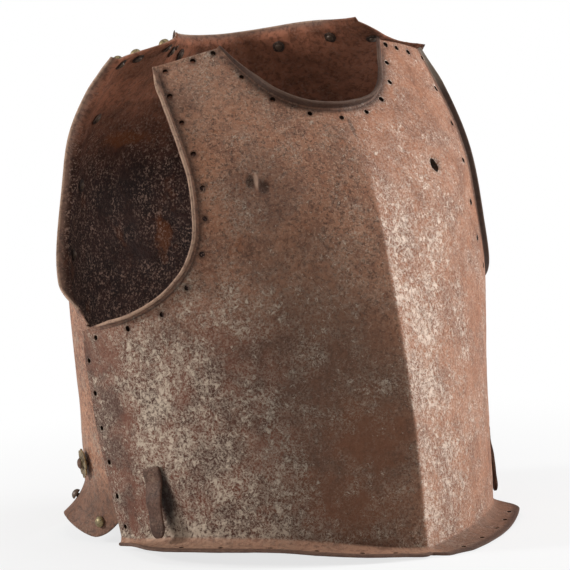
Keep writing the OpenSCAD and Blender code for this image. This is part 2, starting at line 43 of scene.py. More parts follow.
# Measures in mm, shares and angles: those of the CAD, and a few more for the forms that only the looks have
LEVEL = 100.0
WAIST_H = 11.0
BREAST_T, LIP_H, LIP_T = 4.0, 6.5, 2.6
HALF = np.array([171.0, 181, 189, 180, 153])
RIDGE = np.array([211.0, 200, 178, 144, 72])
SIDE_Y = np.array([15.0, -2, -2, 2, -22])
FALL = 26.0 * np.array([1, 0.98, 0.79, 0.5, 0.54])
SIDE_ANGLE = math.radians(84.7)
ARMPIT_H, ARM_H = 170.0, 256.0
CORNER_H, CORNER_T, NECK_H = 396.0, 0.38, 341.0
FLANGE_FRONT, FLANGE_HIP, FLANGE_STEP, LEVEL_RIM = 16.0, 22.0, 10.0, 0.25
FLANGE_NICK = 7.0
WAIST_DIP, WAIST_RISE = 5.0, 5.0
BACK_T, BACK_RIM_T, BACK_FLANGE = 2.8, 2.0, 10.0
SIDE_GAP, SIDE_LAP = 2.2, 13.0
BACK_HALF = HALF - BREAST_T - SIDE_GAP + np.array([0, 0, 0, 0, 3.0])
BACK_Y = np.array([146.0, 130, 126, 128, 88])
BACK_SIDE_Y = -SIDE_Y - SIDE_LAP
BACK_PULL, BACK_SIDE_PULL, BULGE = 0.42, np.array([0.93, 0.81, 0.77, 0.78, 0.78]), math.radians(8.5)
LEAN, LEAN_H, CURL, CURL_RUN = 72.0, 290.0, 5.0, 14.0
BACK_WAIST_H, SKIRT_FLARE, SKIRT_LIFT = 34.0, 20.0, 17.0
SKIRT_DROP = BACK_WAIST_H + WAIST_H - 0.6 * BACK_RIM_T
B_ARMPIT_H, B_MID_H, B_MID_T = 170.0, 292.0, 0.64
NAPE_H, SHOULDER_SAG, SHOULDER_RISE = 397.0, {-1: 0.8, 1: 4.6}, {-1: 4.0, 1: 0.0}
# Shoulder of the backplate by side: place and height of its outer corner and of its neck corner.
# In the photograph the wearer's left shoulder (1) stands a little higher than the right (-1).
B_OUTER = {-1: (0.84, 391.8), 1: (0.806, 391.2)}
B_CORNER = {-1: (0.345, 404.5), 1: (0.442, 412.8)}
EDGE, LIP_R = 0.02, 2.2
CENTRE_Y = (RIDGE[0] + FLANGE_FRONT - BACK_Y[0] - SKIRT_FLARE) / 2


def clamp(x, a, b):
    return np.minimum(np.maximum(x, a), b)


def ease(a, b, x):
    u = clamp((np.asarray(x, float) - a) / (b - a), 0, 1)
    return u * u * (3 - 2 * u)


def mix(a, b, u):
    return a * (1 - u) + b * u


def grid(t, h):
    return np.broadcast_arrays(np.asarray(t, float), np.asarray(h, float))


def unit(v):
    return v / np.maximum(np.linalg.norm(v, axis=-1, keepdims=True), 1e-12)


def vec(*c):
    return np.stack(np.broadcast_arrays(*[np.asarray(x, float) for x in c]), axis=-1)


def bezier(a, b, c, d, u):
    return (1 - u) ** 3 * a + 3 * (1 - u) ** 2 * u * b + 3 * (1 - u) * u * u * c + u ** 3 * d


def measure(v, h):
    u = np.asarray(h, float) / LEVEL
    i = clamp(np.floor(u), 0, len(v) - 2).astype(int)
    f = u - i
    a, b = v[i], v[i + 1]
    start = np.where(i == 0, b - a, (b - v[np.maximum(i - 1, 0)]) / 2)
    end = np.where(i == len(v) - 2, b - a, (v[np.minimum(i + 2, len(v) - 1)] - a) / 2)
    return a + (b - a) * (3 - 2 * f) * f * f + start * f * (1 - f) ** 2 - end * f * f * (1 - f)


def breast_wall(t, h):
    w, r, s = measure(HALF, h), measure(RIDGE, h), measure(SIDE_Y, h)
    a = np.radians(measure(FALL, h))
    chord = np.hypot(w, r - s)
    x = bezier(0 * w, 0.42 * chord * np.cos(a), w - 0.40 * chord * math.cos(SIDE_ANGLE), w, t)
    y = bezier(-r, -r + 0.42 * chord * np.sin(a), -s - 0.40 * chord * math.sin(SIDE_ANGLE), -s, t)
    return vec(x, y + CENTRE_Y, h + WAIST_H)


def outward(wall, t, h, sign):
    p, q = wall(t - 0.01, h), wall(t + 0.01, h)
    n = unit(vec(q[..., 1] - p[..., 1], p[..., 0] - q[..., 0], 0 * t)) * sign
    ahead = vec(0 * t, 0 * t - sign, 0 * t)
    return unit(mix(ahead, n, ease(0, 0.05, t)[..., None]))


# Heights of the flange's rim over the waist at six even steps from the ridge to the side. In the photograph
# the wearer's right half is bent up and the left half is bent down to the ground.
RIM_RIGHT = np.array([-8.0, -3.5, 2.0, 2.5, 0.5, -5.0])
RIM_LEFT = np.array([-8.6, -8.8, -8.0, -4.0, -2.0, -5.0])
BENT_UP, BENT_DOWN = 3.5, 4.0
# The left half's flange: its width by the ridge, how much it swells beside the ridge and narrows after that
LEFT_FLANGE, LEFT_SWELL, LEFT_NARROWS = 21.0, 6.6, 5.6


def waist_bend(t, side):
    """Height of the waist bend over the waist, dipping at the ridge."""
    even = mix(-WAIST_DIP, WAIST_RISE, ease(0, 0.5, t) * mix(1, 0.5, ease(0.6, 1, t)))
    if side < 0:
        return even + BENT_UP * ease(0, 0.3, t) * (1 - ease(0.75, 1, t))
    return even - BENT_DOWN * ease(0, 0.5, t) * (1 - ease(0.7, 1, t))


def flange_out(t, side):
    """Width of the flange. It is nicked at the ridge and widest close beside it on the wearer's left."""
    if side < 0:
        wide = mix(FLANGE_NICK, mix(FLANGE_FRONT, FLANGE_HIP, ease(0.02, 0.16, t)), ease(0, 0.026, t))
        fade = ease(0.74, 0.99, t)
    else:
        swell = LEFT_SWELL * ease(0.02, 0.09, t)
        wide = mix(FLANGE_NICK, LEFT_FLANGE, ease(0, 0.025, t)) + swell - LEFT_NARROWS * ease(0.12, 0.5, t)
        fade = ease(0.58, 0.72, t)
    return wide * mix(1, 0.1, fade)


def breast_face(t, h, side=1):
    t, h = grid(t, h)
    bend = waist_bend(t, side)
    over = np.maximum(h, 0)
    up = over + bend * (1 - ease(0, LEVEL, over))
    p = breast_wall(t, up)
    f = clamp(-h / FLANGE_STEP, 0, 1)
    n = outward(breast_wall, t, bend, 1)
    out = flange_out(t, side) * (0.3 * f + 0.7 * f * f)
    rim = measure(RIM_RIGHT if side < 0 else RIM_LEFT, clamp(t, 0, 1) * 5 * LEVEL)
    rest = 1 - np.minimum(f / (1 - LEVEL_RIM), 1)
    return p + out[..., None] * n - vec(0 * t, 0 * t, (bend - rim) * (1 - rest * rest))


def back_wall(t, h, side=1):
    """Wall of the backplate. Its shoulders lean forward and curl over near their top edge."""
    w, d, s = measure(BACK_HALF, h), measure(BACK_Y, h), measure(BACK_SIDE_Y, h)
    pull = measure(BACK_SIDE_PULL, h) * (d - s)
    x = bezier(0 * w, BACK_PULL * w, w + pull * math.sin(BULGE), w, t)
    y = bezier(d, d, s + pull * math.cos(BULGE), s, t)
    rise = np.maximum(h - LEAN_H, 0) / (4 * LEVEL - LEAN_H)
    lean = LEAN * rise * rise * ease(0.1, 0.55, t) * mix(1, 0.69, ease(0.45, 1, t))
    (t0, h0), (t1, h1) = B_CORNER[side], B_OUTER[side]
    top = mix(h0, h1, clamp((t - t0) / (t1 - t0), 0, 1))
    near = clamp((h - top) / CURL_RUN + 1, 0, 1.3)
    curl = CURL * near * near * ease(0.3, 0.5, t)
    return vec(x, y - lean - curl + CENTRE_Y, h + WAIST_H)


def back_face(t, h, side=1):
    t, h = grid(t, h)
    f = np.maximum(BACK_WAIST_H - h, 0) / BACK_WAIST_H
    flare = SKIRT_FLARE * (1 - ease(0.78, 0.94, t))
    lift = SKIRT_LIFT * ease(0.45, 0.74, t) * mix(1, 0.2, ease(0.77, 0.88, t))
    drop = (SKIRT_DROP - lift) * mix(1, 0.45, ease(0.87, 1, t))
    n = outward(back_wall, t, 0 * h + BACK_WAIST_H, -1)
    p = back_wall(t, np.where(h >= BACK_WAIST_H, h, BACK_WAIST_H - drop * f), side)
    return p + (flare * (0.35 * f + 0.65 * f * f))[..., None] * n


FACES = [breast_face, back_face]


def normal(kind, t, h, side=1):
    t, h = grid(t, h)
    e = 0.002
    across = FACES[kind](t + e, h, side) - FACES[kind](t - e, h, side)
    up = FACES[kind](t, h + 1, side) - FACES[kind](t, h - 1, side)
    n = unit(np.cross(across, up) if kind == 0 else np.cross(up, across))
    centre = np.abs(t) < 1e-9
    n[centre, 0] = 0
    return unit(n)


def curve(points, u):
    a, b, c, d = [np.array(p, float) for p in points]
    u = np.asarray(u, float)[..., None]
    return bezier(a, b, c, d, u)


def neck_line(u):
    return curve([(0, NECK_H), (0.59 * CORNER_T, NECK_H),
                  (CORNER_T - 0.11, mix(CORNER_H, NECK_H, 0.5)), (CORNER_T, CORNER_H)], u)


# Armhole of the breastplate by side: its innermost place, and the two upper handles of its line with the
# outer shoulder corner, as section place and height
ARM_T = {-1: 0.53, 1: 0.58}
ARM_TOP = {-1: [(0.53, 313.6), (0.614, 344.0), (0.65, 384.0)],
           1: [(0.58, 305.0), (0.70, 350.0), (0.67, 386.5)]}


def low_armhole(u, side):
    t = ARM_T[side]
    return curve([(1 - EDGE, ARMPIT_H), (t + 0.21, ARMPIT_H + 8),
                  (t, mix(ARM_H, ARMPIT_H, 0.58)), (t, ARM_H)], u)


def high_armhole(u, side):
    return curve([(ARM_T[side], ARM_H)] + ARM_TOP[side], u)


def back_neck_line(u, side):
    u = np.asarray(u, float)
    t, h = B_CORNER[side]
    return vec(t * u, mix(NAPE_H, h, u * u))


def shoulder_arch(u, side):
    """Height of the shoulder edge over the straight line from the neck corner (0) to the outer corner (1)."""
    return 12.2 * SHOULDER_RISE[side] * u * (1 - u) ** 4 - 4 * SHOULDER_SAG[side] * u * (1 - u)


def back_low_armhole(u):
    return curve([(1 - EDGE, B_ARMPIT_H), (0.92, B_ARMPIT_H + 6),
                  (B_MID_T, B_MID_H - 55), (B_MID_T, B_MID_H)], u)


def back_high_armhole(u, side):
    t, h = B_OUTER[side]
    return curve([(B_MID_T, B_MID_H), (B_MID_T, B_MID_H + 30), (t - 0.01, h - 45), (t, h)], u)


# Grid of the fine plates: size of a cell in mm, cells across a half and the least share of thickness in a rim
STEP, ACROSS, THINNEST = 2.0, 140, 0.12
RIM_ANGLES = np.radians([0, 25, 45, 65, 90])[::-1]
# For the breastplate (0) and the backplate (1): heights of the bottom, waist, armpit and neck's middle, rows
# beside the armhole, then length and rounding of the bottom edge and of the shoulder
LEVELS = [(-FLANGE_STEP, 0.0, ARMPIT_H, NECK_H), (0.0, BACK_WAIST_H, B_ARMPIT_H, NAPE_H)]
ARMHOLE_ROWS, MIDDLE_STRETCH = [75, 84], 1.15
BOTTOM_EDGE, SHOULDER_EDGE = [(20.0, 1.3), (38.0, 1.0)], [(132.0, 2.0), (110.0, 1.4)]


def spread(length, rim_start=0.0, rim_end=0.0):
    """Places 0..1 along a length in mm, closer in a rounded rim, and their shares of full thickness."""
    count = max(int(round((length - rim_start - rim_end) / STEP)), 2) + 1
    place, share = list(np.linspace(rim_start, length - rim_end, count)), [1.0] * count
    rim = [(1 - math.cos(a), max(math.sin(a), THINNEST)) for a in RIM_ANGLES[1:]]
    if rim_end:
        place += [length - rim_end * c for c, _ in rim]
        share += [q for _, q in rim]
    if rim_start:
        place = [rim_start * c for c, _ in rim[::-1]] + place
        share = [q for _, q in rim[::-1]] + share
    return np.array(place) / length, np.array(share)


def shoulder_turns(kind, side, u):
    """How far the neck edge and the armhole edge turn out, from the neck's middle (0) to the shoulder (1)."""
    if kind == 0:
        return mix(1, 0.14, ease(0.4, 1, u)), mix(1, 0.15 if side < 0 else 0.55, ease(0.72, 1, u))
    return mix(0.55, 0.05, ease(0.6, 1, u)), mix(0.9, 0.6 if side < 0 else 0.2, ease(0.75, 1, u))


def rows_of(kind, side):
    """Rows of a half plate: inner and outer ends, neck turn, armhole turn, share of thickness, rim thinning
    and share of the arch. Also the first row above the middle of the neck."""
    blocks, edge = [], 1 - EDGE
    bottom, waist, armpit, neck = LEVELS[kind]

    def add(inner, outer, neck_turn, arm_turn, share, thin, arch=0.0):
        n = len(share)
        ends = [np.broadcast_to(q, (n, 2)) for q in (inner, outer)]
        blocks.append(ends + [np.broadcast_to(q, n) for q in (neck_turn, arm_turn, share, thin, arch)])

    u, s = [q[:-1] for q in spread(BOTTOM_EDGE[kind][0], rim_start=BOTTOM_EDGE[kind][1])]
    h = mix(bottom, waist, u)
    add(vec(0, h), vec(edge, h), 0, 0, s, 1 - u)
    n = int((armpit * 1.07 - waist) / STEP)
    u = np.arange(n) / n
    add(vec(0, mix(waist, armpit * MIDDLE_STRETCH, u)), vec(edge, mix(waist, armpit, u)), 0, 0, np.ones(n), 0)
    n = ARMHOLE_ROWS[kind]
    u = np.arange(n) / n
    line = low_armhole(u, side) if kind == 0 else back_low_armhole(u)
    turn = ease(-0.02, 0.3, u) if kind == 0 else 0.9 * ease(0.12, 0.45, u)
    add(vec(0, mix(armpit * MIDDLE_STRETCH, neck, u)), line, 0, turn, np.ones(n), 0)
    centre = sum(len(b[0]) for b in blocks)
    u, s = spread(SHOULDER_EDGE[kind][0], rim_end=SHOULDER_EDGE[kind][1])
    if kind == 0:
        add(neck_line(u), high_armhole(u, side), *shoulder_turns(kind, side, u), s, 0)
    else:
        add(back_neck_line(u, side), back_high_armhole(u, side), *shoulder_turns(kind, side, u), s, 0, u * u)
    return [np.concatenate(q) for q in zip(*blocks)], centre


def turned(p, n, m, s, amount, height):
    """Points and normals of a turned edge at the places s of its reach."""
    full = math.pi / 2 * amount
    arc = LIP_R * full
    reach = s * (LIP_R * math.pi / 2 + (height - LIP_R) * np.sqrt(amount))
    swept = np.where(amount > 1e-6, np.minimum(reach, arc) / LIP_R, 0)
    rest = reach - np.where(amount > 1e-6, np.minimum(reach, arc), 0)
    ss, cs = np.sin(swept)[..., None], np.cos(swept)[..., None]
    q = p + LIP_R * ss * m + LIP_R * (1 - cs) * n
    return q + rest[..., None] * (cs * m + ss * n), n * cs - m * ss


LIP_SHADE_REACH = 4.5


def half_plate(kind, side):
    """Outer points, normals, thickness and masks of a half plate, each as a grid of rows and columns."""
    (a, b, neck, arm, share, thin, arch), centre = rows_of(kind, side)
    wall, rim, height = [(BREAST_T, LIP_T, LIP_H), (BACK_T, BACK_RIM_T, BACK_FLANGE)][kind]
    lip_s, lip_share = [q[1:] for q in spread(height + 1.2, rim_end=rim / 2)]
    count, k = len(a), len(lip_s)
    f = np.linspace(0, 1, ACROSS + 1)[None, :]
    t = mix(a[:, :1], b[:, :1], f)
    h = mix(a[:, 1:], b[:, 1:], f) + arch[:, None] * shoulder_arch(f, side)

    def skin(places, heights):
        return FACES[kind](places, heights, side), normal(kind, places, heights, side)

    def run(p, level):
        """Directions along an edge. The middle line is level up to the neck."""
        r = np.empty_like(p)
        r[1:-1] = p[2:] - p[:-2]
        r[0], r[-1] = p[1] - p[0], p[-1] - p[-2]
        if level:
            r[:centre + 1] = (1, 0, 0)
        return unit(r)

    def lip(p, n, m, amount, tall):
        s = np.broadcast_to(lip_s, (count, k))
        return turned(p[:, None], n[:, None], m[:, None], s, amount[:, None], tall[:, None])

    def joined(inner_lip, middle, outer_lip):
        return np.concatenate([inner_lip[:, ::-1], middle, outer_lip], axis=1)

    body, body_n = skin(t, h)
    inner, inner_n = skin(a[:, 0], a[:, 1])
    outer, outer_n = skin(b[:, 0], b[:, 1])
    im = unit(np.cross(inner_n, run(inner, True)) * (-1 if kind == 0 else 1))
    im[(im[:, 2] < 0) & (np.arange(count) >= centre)] *= -1
    om = unit(np.cross(run(outer, False), outer_n) * (1 if kind == 0 else -1))

    # the turned edges of the breastplate sink towards the shoulders
    neck_tall, arm_tall = height + 0 * neck, height + 0 * arm
    if kind == 0:
        neck_tall = height * mix(0.35, 1, neck)
        arm_tall = height * mix(0.4, 1, arm) * (1 if side < 0 else 0.72)
    ip, inn = lip(inner, inner_n, im, neck, neck_tall)
    op, onn = lip(outer, outer_n, om, arm, arm_tall)
    # below the armpit the outer lip lies flat and carries the wall on to the side edge
    armpit = LEVELS[kind][2]
    narrow = ease(armpit - (14 if kind == 0 else 10), armpit, b[:, 1])
    e = EDGE * lip_s[None, :] * np.where(arm > 0, 1.0, 1 - 0.55 * narrow)[:, None]
    flat, flat_n = skin(b[:, :1] + e, b[:, 1:] + 0 * e)
    w = ease(0, 0.12, arm)[:, None, None]
    op, onn = mix(flat, op, w), unit(mix(flat_n, onn, w))

    neck_on, arm_on = ease(0, 0.3, neck)[:, None], ease(0, 0.3, arm)[:, None]
    thick = mix(wall, rim, thin)[:, None]
    lip_thick = mix(thick, rim, lip_s[None, :])
    body_thick = np.broadcast_to(thick, t.shape)
    outer_thick = mix(body_thick[:, -1:], lip_thick, arm[:, None])
    rounding = np.broadcast_to(lip_share, (count, k))
    # painted shade lies within a few millimetres of a turned edge's foot, as the turned edge's shadow
    width = np.linalg.norm(np.diff(body, axis=1), axis=2).sum(axis=1)[:, None]
    foot = np.maximum(neck_on * np.exp(-(f * width / LIP_SHADE_REACH) ** 2),
                      arm_on * np.exp(-((1 - f) * width / LIP_SHADE_REACH) ** 2))
    return {"p": joined(ip, body, op), "n": joined(inn, body_n, onn),
            "th": joined(lip_thick, body_thick, outer_thick),
            "share": np.minimum(share[:, None], joined(rounding, np.ones(t.shape), rounding)),
            "lip": joined(lip_s * neck_on, 0 * t, lip_s * arm_on),
            "foot": np.pad(foot, ((0, 0), (k, k))),
            "t": np.pad(t, ((0, 0), (k, k)), mode="edge"), "h": np.pad(h, ((0, 0), (k, k)), mode="edge"),
            "centre_row": centre, "centre_col": k}


# Just inside the outermost places of the CAD; no dent or ripple of the plates may pass them
WIDEST, FOREMOST = 189.5, -197.0
# Ripples left by the hammer: height and size in mm, seed and octaves
RIPPLES = [(0.55, 95, 11, 3), (0.16, 26, 21, 3), (0.05, 7, 31, 2)]
LIP_RIPPLE = 0.35
# The ridge is sharp below and fades above: its rounding and the heights between which it grows, in mm
RIDGE_ROUND, RIDGE_FADE = (1.3, 22), (262, 332)
SHOT_SPOT = (0.319, 291.5)
# Dents of the breastplate by side: the place they lie round, then offset, radius and height of each in mm
DENTS = {-1: ((0.336, 289), [((-4, 0, -12), 38, -2.0), ((-5.5, 1.5, 1.5), 6.6, -3.6),
                             ((5.0, -2, -2.5), 7.0, -4.0), ((-0.5, 0, 0.5), 4.2, 0.8)]),
         1: (SHOT_SPOT, [((0, 0, 0), 12, -1.6)])}


def value_noise(p, scale, seed, octaves):
    """Smooth noise of about -1..1 at points in mm, from sums of turned sine waves, the same on every run."""
    rng = np.random.default_rng(seed)
    total, amp, norm = 0, 1.0, 0.0
    for o in range(octaves):
        k = 2 * math.pi / (scale / 2 ** o)
        part = 0
        for _ in range(7):
            d = rng.normal(size=3)
            d /= np.linalg.norm(d)
            part = part + np.sin(p @ d * k * rng.uniform(0.7, 1.3) + rng.uniform(0, 6.28))
        total = total + amp * part / 3.2
        norm += amp
        amp *= 0.5
    return total / norm


def bump_at(p, centre, radius):
    d = np.linalg.norm(p - np.asarray(centre), axis=-1) / radius
    return np.where(d < 1, (1 - d * d) ** 2, 0)


def place(kind, side, t, h):
    return FACES[kind](np.array(t), np.array(h), side) * (side, 1, 1)


def shape_plate(kind, g, side):
    """Moves the outer face of a half plate as hammering, use and rust have, and returns both skins."""
    flip = np.array([side, 1, 1])
    p, n, half = g["p"] * flip, g["n"] * flip, g["th"] / 2
    slope = np.tan(np.radians(measure(FALL, np.maximum(g["h"], 0))))
    move = sum(tall * value_noise(p, size, seed + kind, octaves) for tall, size, seed, octaves in RIPPLES)
    move = move * g["share"] + g["lip"] * LIP_RIPPLE * value_noise(p, 38, 41 + kind, 2)
    if kind == 0:
        x = np.abs(p[..., 0])
        radius = mix(*RIDGE_ROUND, ease(*RIDGE_FADE, g["h"]))
        p = p + vec(0 * x, slope * (np.sqrt(x * x + radius ** 2) - x) * (g["h"] > -2), 0 * x)
        spot, dents = DENTS[side]
        for offset, reach, tall in dents:
            move = move + tall * bump_at(p, place(0, side, *spot) + offset, reach)
    p = p + move[..., None] * n
    middle = p - n * half[..., None]
    skin = n * (half * g["share"])[..., None]
    outer, inner = middle + skin, middle - skin
    if kind == 0:
        # the inner skin of the ridge is kept on its own side of the middle
        lack = np.maximum(0.05 * np.abs(outer[..., 0]) - inner[..., 0] * side, 0)
        inner = inner + vec(lack * side, lack * slope, 0 * lack)
    for q in (outer, inner):
        q[..., 0] = clamp(q[..., 0], -WIDEST, WIDEST)
        q[..., 1] = np.maximum(q[..., 1], FOREMOST)
        q[..., 2] = np.maximum(q[..., 2], 0.0)
    return outer, inner


def linked(name, data):
    """A new object of the scene with this data."""
    obj = bpy.data.objects.new(name, data)
    bpy.context.scene.collection.objects.link(obj)
    return obj


def mark(mesh, name, domain, values):
    """Writes an attribute, which the materials read as a mask."""
    mesh.attributes.new(name, "FLOAT", domain).data.foreach_set("value", np.asarray(values, np.float32))


def plate_mesh(kind, name, grime=()):
    """The whole plate as one closed mesh, with its masks as attributes. Grime lies round the given spots."""
    verts, index, faces, base = [], [], [], 0
    masks = {"lip": [], "foot": [], "inside": [], "place_t": [], "place_h": []}
    for side in (1, -1):
        g = half_plate(kind, side)
        rows, cols = g["t"].shape
        cr, cc = g["centre_row"], g["centre_col"]
        for layer, q in enumerate(shape_plate(kind, g, side)):
            index.append(base + np.arange(rows * cols).reshape(rows, cols))
            base += rows * cols
            verts.append(q.reshape(-1, 3))
            # the foot mask: painted shade at the foot of the turned edges, with grime round the given spots
            shade_and_grime = g["foot"].ravel()
            for spot, radius in grime:
                shade_and_grime = np.maximum(shade_and_grime, np.exp(-(np.linalg.norm(verts[-1] - spot, axis=1) / radius) ** 4))
            values = (g["lip"], shade_and_grime, np.full(rows * cols, float(layer)), g["t"] * side, g["h"])
            for key, value in zip(masks, values):
                masks[key].append(value.ravel())
    # the halves share the middle column under the neck, and the lip columns of the neck's middle row
    for part in (np.s_[:cr + 1, cc], np.s_[cr, :cc]):
        for layer in (0, 1):
            verts[layer].reshape(rows, cols, 3)[part][..., 0] = 0
            index[2 + layer][part] = index[layer][part]

    def quads(ix, j0, j1, i0, i1, flip):
        a, b = ix[j0:j1, i0:i1], ix[j0:j1, i0 + 1:i1 + 1]
        c, d = ix[j0 + 1:j1 + 1, i0 + 1:i1 + 1], ix[j0 + 1:j1 + 1, i0:i1]
        q = np.stack([a, b, c, d], axis=-1).reshape(-1, 4)
        faces.append(q[:, ::-1] if flip else q)

    def rim(ix):
        """Round a half: its bottom, its outer edge, its shoulder and its neck edge."""
        return np.concatenate([ix[0, cc:], ix[1:, -1], ix[-1, -2::-1], ix[-2:cr - 1:-1, 0]])

    for s, side in enumerate((1, -1)):
        mirrored = (side < 0) != (kind == 1)
        for layer in (0, 1):
            flip = mirrored != (layer == 1)
            quads(index[2 * s + layer], 0, cr, cc, cols - 1, flip)
            quads(index[2 * s + layer], cr, rows - 1, 0, cols - 1, flip)
        o, n = rim(index[2 * s]), rim(index[2 * s + 1])
        q = np.stack([o[:-1], n[:-1], n[1:], o[1:]], axis=-1)
        faces.append(q[:, ::-1] if mirrored else q)
    f = np.concatenate(faces)
    used = np.unique(f)
    remap = np.full(base, -1)
    remap[used] = np.arange(len(used))
    mesh = bpy.data.meshes.new(name)
    mesh.from_pydata((np.concatenate(verts)[used] * MM).tolist(), [], remap[f].tolist())
    for key, parts in masks.items():
        mark(mesh, key, "POINT", np.concatenate(parts)[used])
    mesh.validate()
    return linked(name, mesh)


def polar_mesh(profile, segments, wobble=0.0, seed=0):
    """Vertices and faces of a closed turned form. Its profile runs as [radius, height] from axis to axis."""
    phase = np.random.default_rng(seed).uniform(0, 6.28, 4)
    a = 2 * math.pi * np.arange(segments) / segments
    verts, faces, rings, count = [], [], [], 0
    for r, z in profile:
        uneven = 0.6 * np.sin(2 * a + phase[0]) + 0.4 * np.sin(3 * a + phase[1] + z)
        uneven = uneven + 0.3 * np.sin(5 * a + phase[2])
        wide, tilt = r * (1 + wobble * uneven), wobble * r * 0.5 * np.sin(a + phase[3])
        ring = vec(wide * np.cos(a), wide * np.sin(a), z + tilt)[:segments if r > 1e-6 else 1]
        rings.append(range(count, count + len(ring)))
        count += len(ring)
        verts.append(ring)
    for low, high in zip(rings, rings[1:]):
        for i in range(segments):
            j = (i + 1) % segments
            if len(low) == 1:
                faces.append((low[0], high[j], high[i]))
            elif len(high) == 1:
                faces.append((low[i], low[j], high[0]))
            else:
                faces.append((low[i], low[j], high[j], high[i]))
    return np.concatenate(verts), faces


def tube_faces(rings, n, closed):
    """Quads between rings of n vertices each, and from the last ring to the first of a closed one."""
    pairs = [(j * n, (j + 1) % rings * n) for j in range(rings if closed else rings - 1)]
    return [(a + i, b + i, b + (i + 1) % n, a + (i + 1) % n) for a, b in pairs for i in range(n)]


def seated(parts, kind, spot, side):
    """Moves local vertices to a seat on a plate: Z along its outward normal and Y up it."""
    verts, faces = parts
    flip = np.array([side, 1, 1])
    p = FACES[kind](np.array(spot[0]), np.array(spot[1]), side) * flip
    n = normal(kind, np.array([spot[0]]), np.array([spot[1]]), side)[0]
    x = unit(np.cross([0, 0, 1], n))
    axes = np.array([x * flip, np.cross(n, x) * flip, n * flip])
    if side < 0:
        faces = [tuple(reversed(f)) for f in faces]
    return verts @ axes + p, faces


def make_object(name, parts, smooth_angle=40):
    """One object from several vertex and face lists in mm."""
    verts, faces, base = [], [], 0
    for v, f in parts:
        verts.append(v)
        faces += [tuple(i + base for i in q) for q in f]
        base += len(v)
    mesh = bpy.data.meshes.new(name)
    mesh.from_pydata((np.concatenate(verts) * MM).tolist(), [], faces)
    mesh.validate()
    obj = linked(name, mesh)
    smooth(obj, smooth_angle)
    return obj


def smooth(obj, angle):
    mesh = obj.data
    mesh.polygons.foreach_set("use_smooth", [True] * len(mesh.polygons))
    mesh.set_sharp_from_angle(angle=math.radians(angle))


def apply_modifiers(obj):
    deps = bpy.context.evaluated_depsgraph_get()
    mesh = bpy.data.meshes.new_from_object(obj.evaluated_get(deps))
    old = obj.data
    obj.modifiers.clear()
    obj.data = mesh
    bpy.data.meshes.remove(old)


def cylinder_parts(radius, depth, segments, wobble=0.0, seed=0):
    profile = [(0, -depth / 2), (radius, -depth / 2), (radius, depth / 2), (0, depth / 2)]
    return polar_mesh(profile, segments, wobble, seed)


# Holes of the plates as section place and height, as the photograph has them; the wearer's right is negative
SHOULDER_HOLES_R = [(0.615, 379), (0.49, 386.5), (0.40, 392)]
SHOULDER_HOLES_L = [(0.39, 391.5), (0.452, 388), (0.53, 384), (0.665, 378)]
NECK_HOLES_R = [(0.31, 372), (0.222, 353), (0.113, 340.5), (0.012, 337)]
NECK_HOLES_L = [(0.10, 339), (0.195, 347.5), (0.285, 360.5), (0.335, 376.5)]
ARM_HOLES_R = [(0.605, 359), (0.568, 338), (0.537, 313), (0.514, 286), (0.511, 262),
               (0.524, 234), (0.578, 208), (0.67, 187), (0.80, 175), (0.935, 166)]
ARM_HOLES_L = [(0.617, 352), (0.58, 322), (0.54, 291), (0.519, 256),
               (0.54, 225), (0.605, 200), (0.73, 181), (0.90, 169)]
SIDE_HOLES = [(0.98, 146), (0.975, 119), (0.972, 90), (0.97, 62), (0.97, 34), (0.965, 9)]
FLANGE_HOLES_R = [0.085, 0.17, 0.29, 0.42, 0.57, 0.7]
FLANGE_HOLES_L = [0.085, 0.2, 0.33, 0.44, 0.53]
# Radius of a lining hole, how much wear widens it by side, and lengths of the cutters
HOLE_R, HOLE_WEAR, PUNCH, FLANGE_PUNCH = 2.0, {-1: 1.08, 1: 1.2}, 10.4, 9
BREAST_HOLES = {-1: SHOULDER_HOLES_R + NECK_HOLES_R + ARM_HOLES_R + SIDE_HOLES,
                1: SHOULDER_HOLES_L + NECK_HOLES_L + ARM_HOLES_L + SIDE_HOLES}


def boolean_cut(obj, parts, name):
    """Cuts the closed parts out of an object. The walls that this leaves carry bore = 1."""
    cutter = make_object(name, parts)
    for mesh, bore in ((obj.data, 0.0), (cutter.data, 1.0)):
        mark(mesh, "bore", "FACE", np.full(len(mesh.polygons), bore))
    mod = obj.modifiers.new("cut", "BOOLEAN")
    mod.operation = "DIFFERENCE"
    mod.solver = "MANIFOLD"
    mod.object = cutter
    apply_modifiers(obj)
    mesh = cutter.data
    bpy.data.objects.remove(cutter)
    bpy.data.meshes.remove(mesh)


def shot_cutter():
    """The shot hole: a ragged mouth that narrows through the plate and slants towards the ridge."""
    profile = [(0, -8), (2.7, -8), (2.9, -3.6), (4.5, -1.4), (6.0, 0.6), (6.6, 8), (0, 8)]
    verts, faces = polar_mesh(profile, 26, 0.13, 99)
    verts[:, 0] -= 2.2 * ease(0.6, -3.6, verts[:, 2])
    verts[:, 1] *= 1.25
    return verts, faces


HOOK_SPOT = {-1: (0.79, 54.0), 1: (0.778, 51.0)}


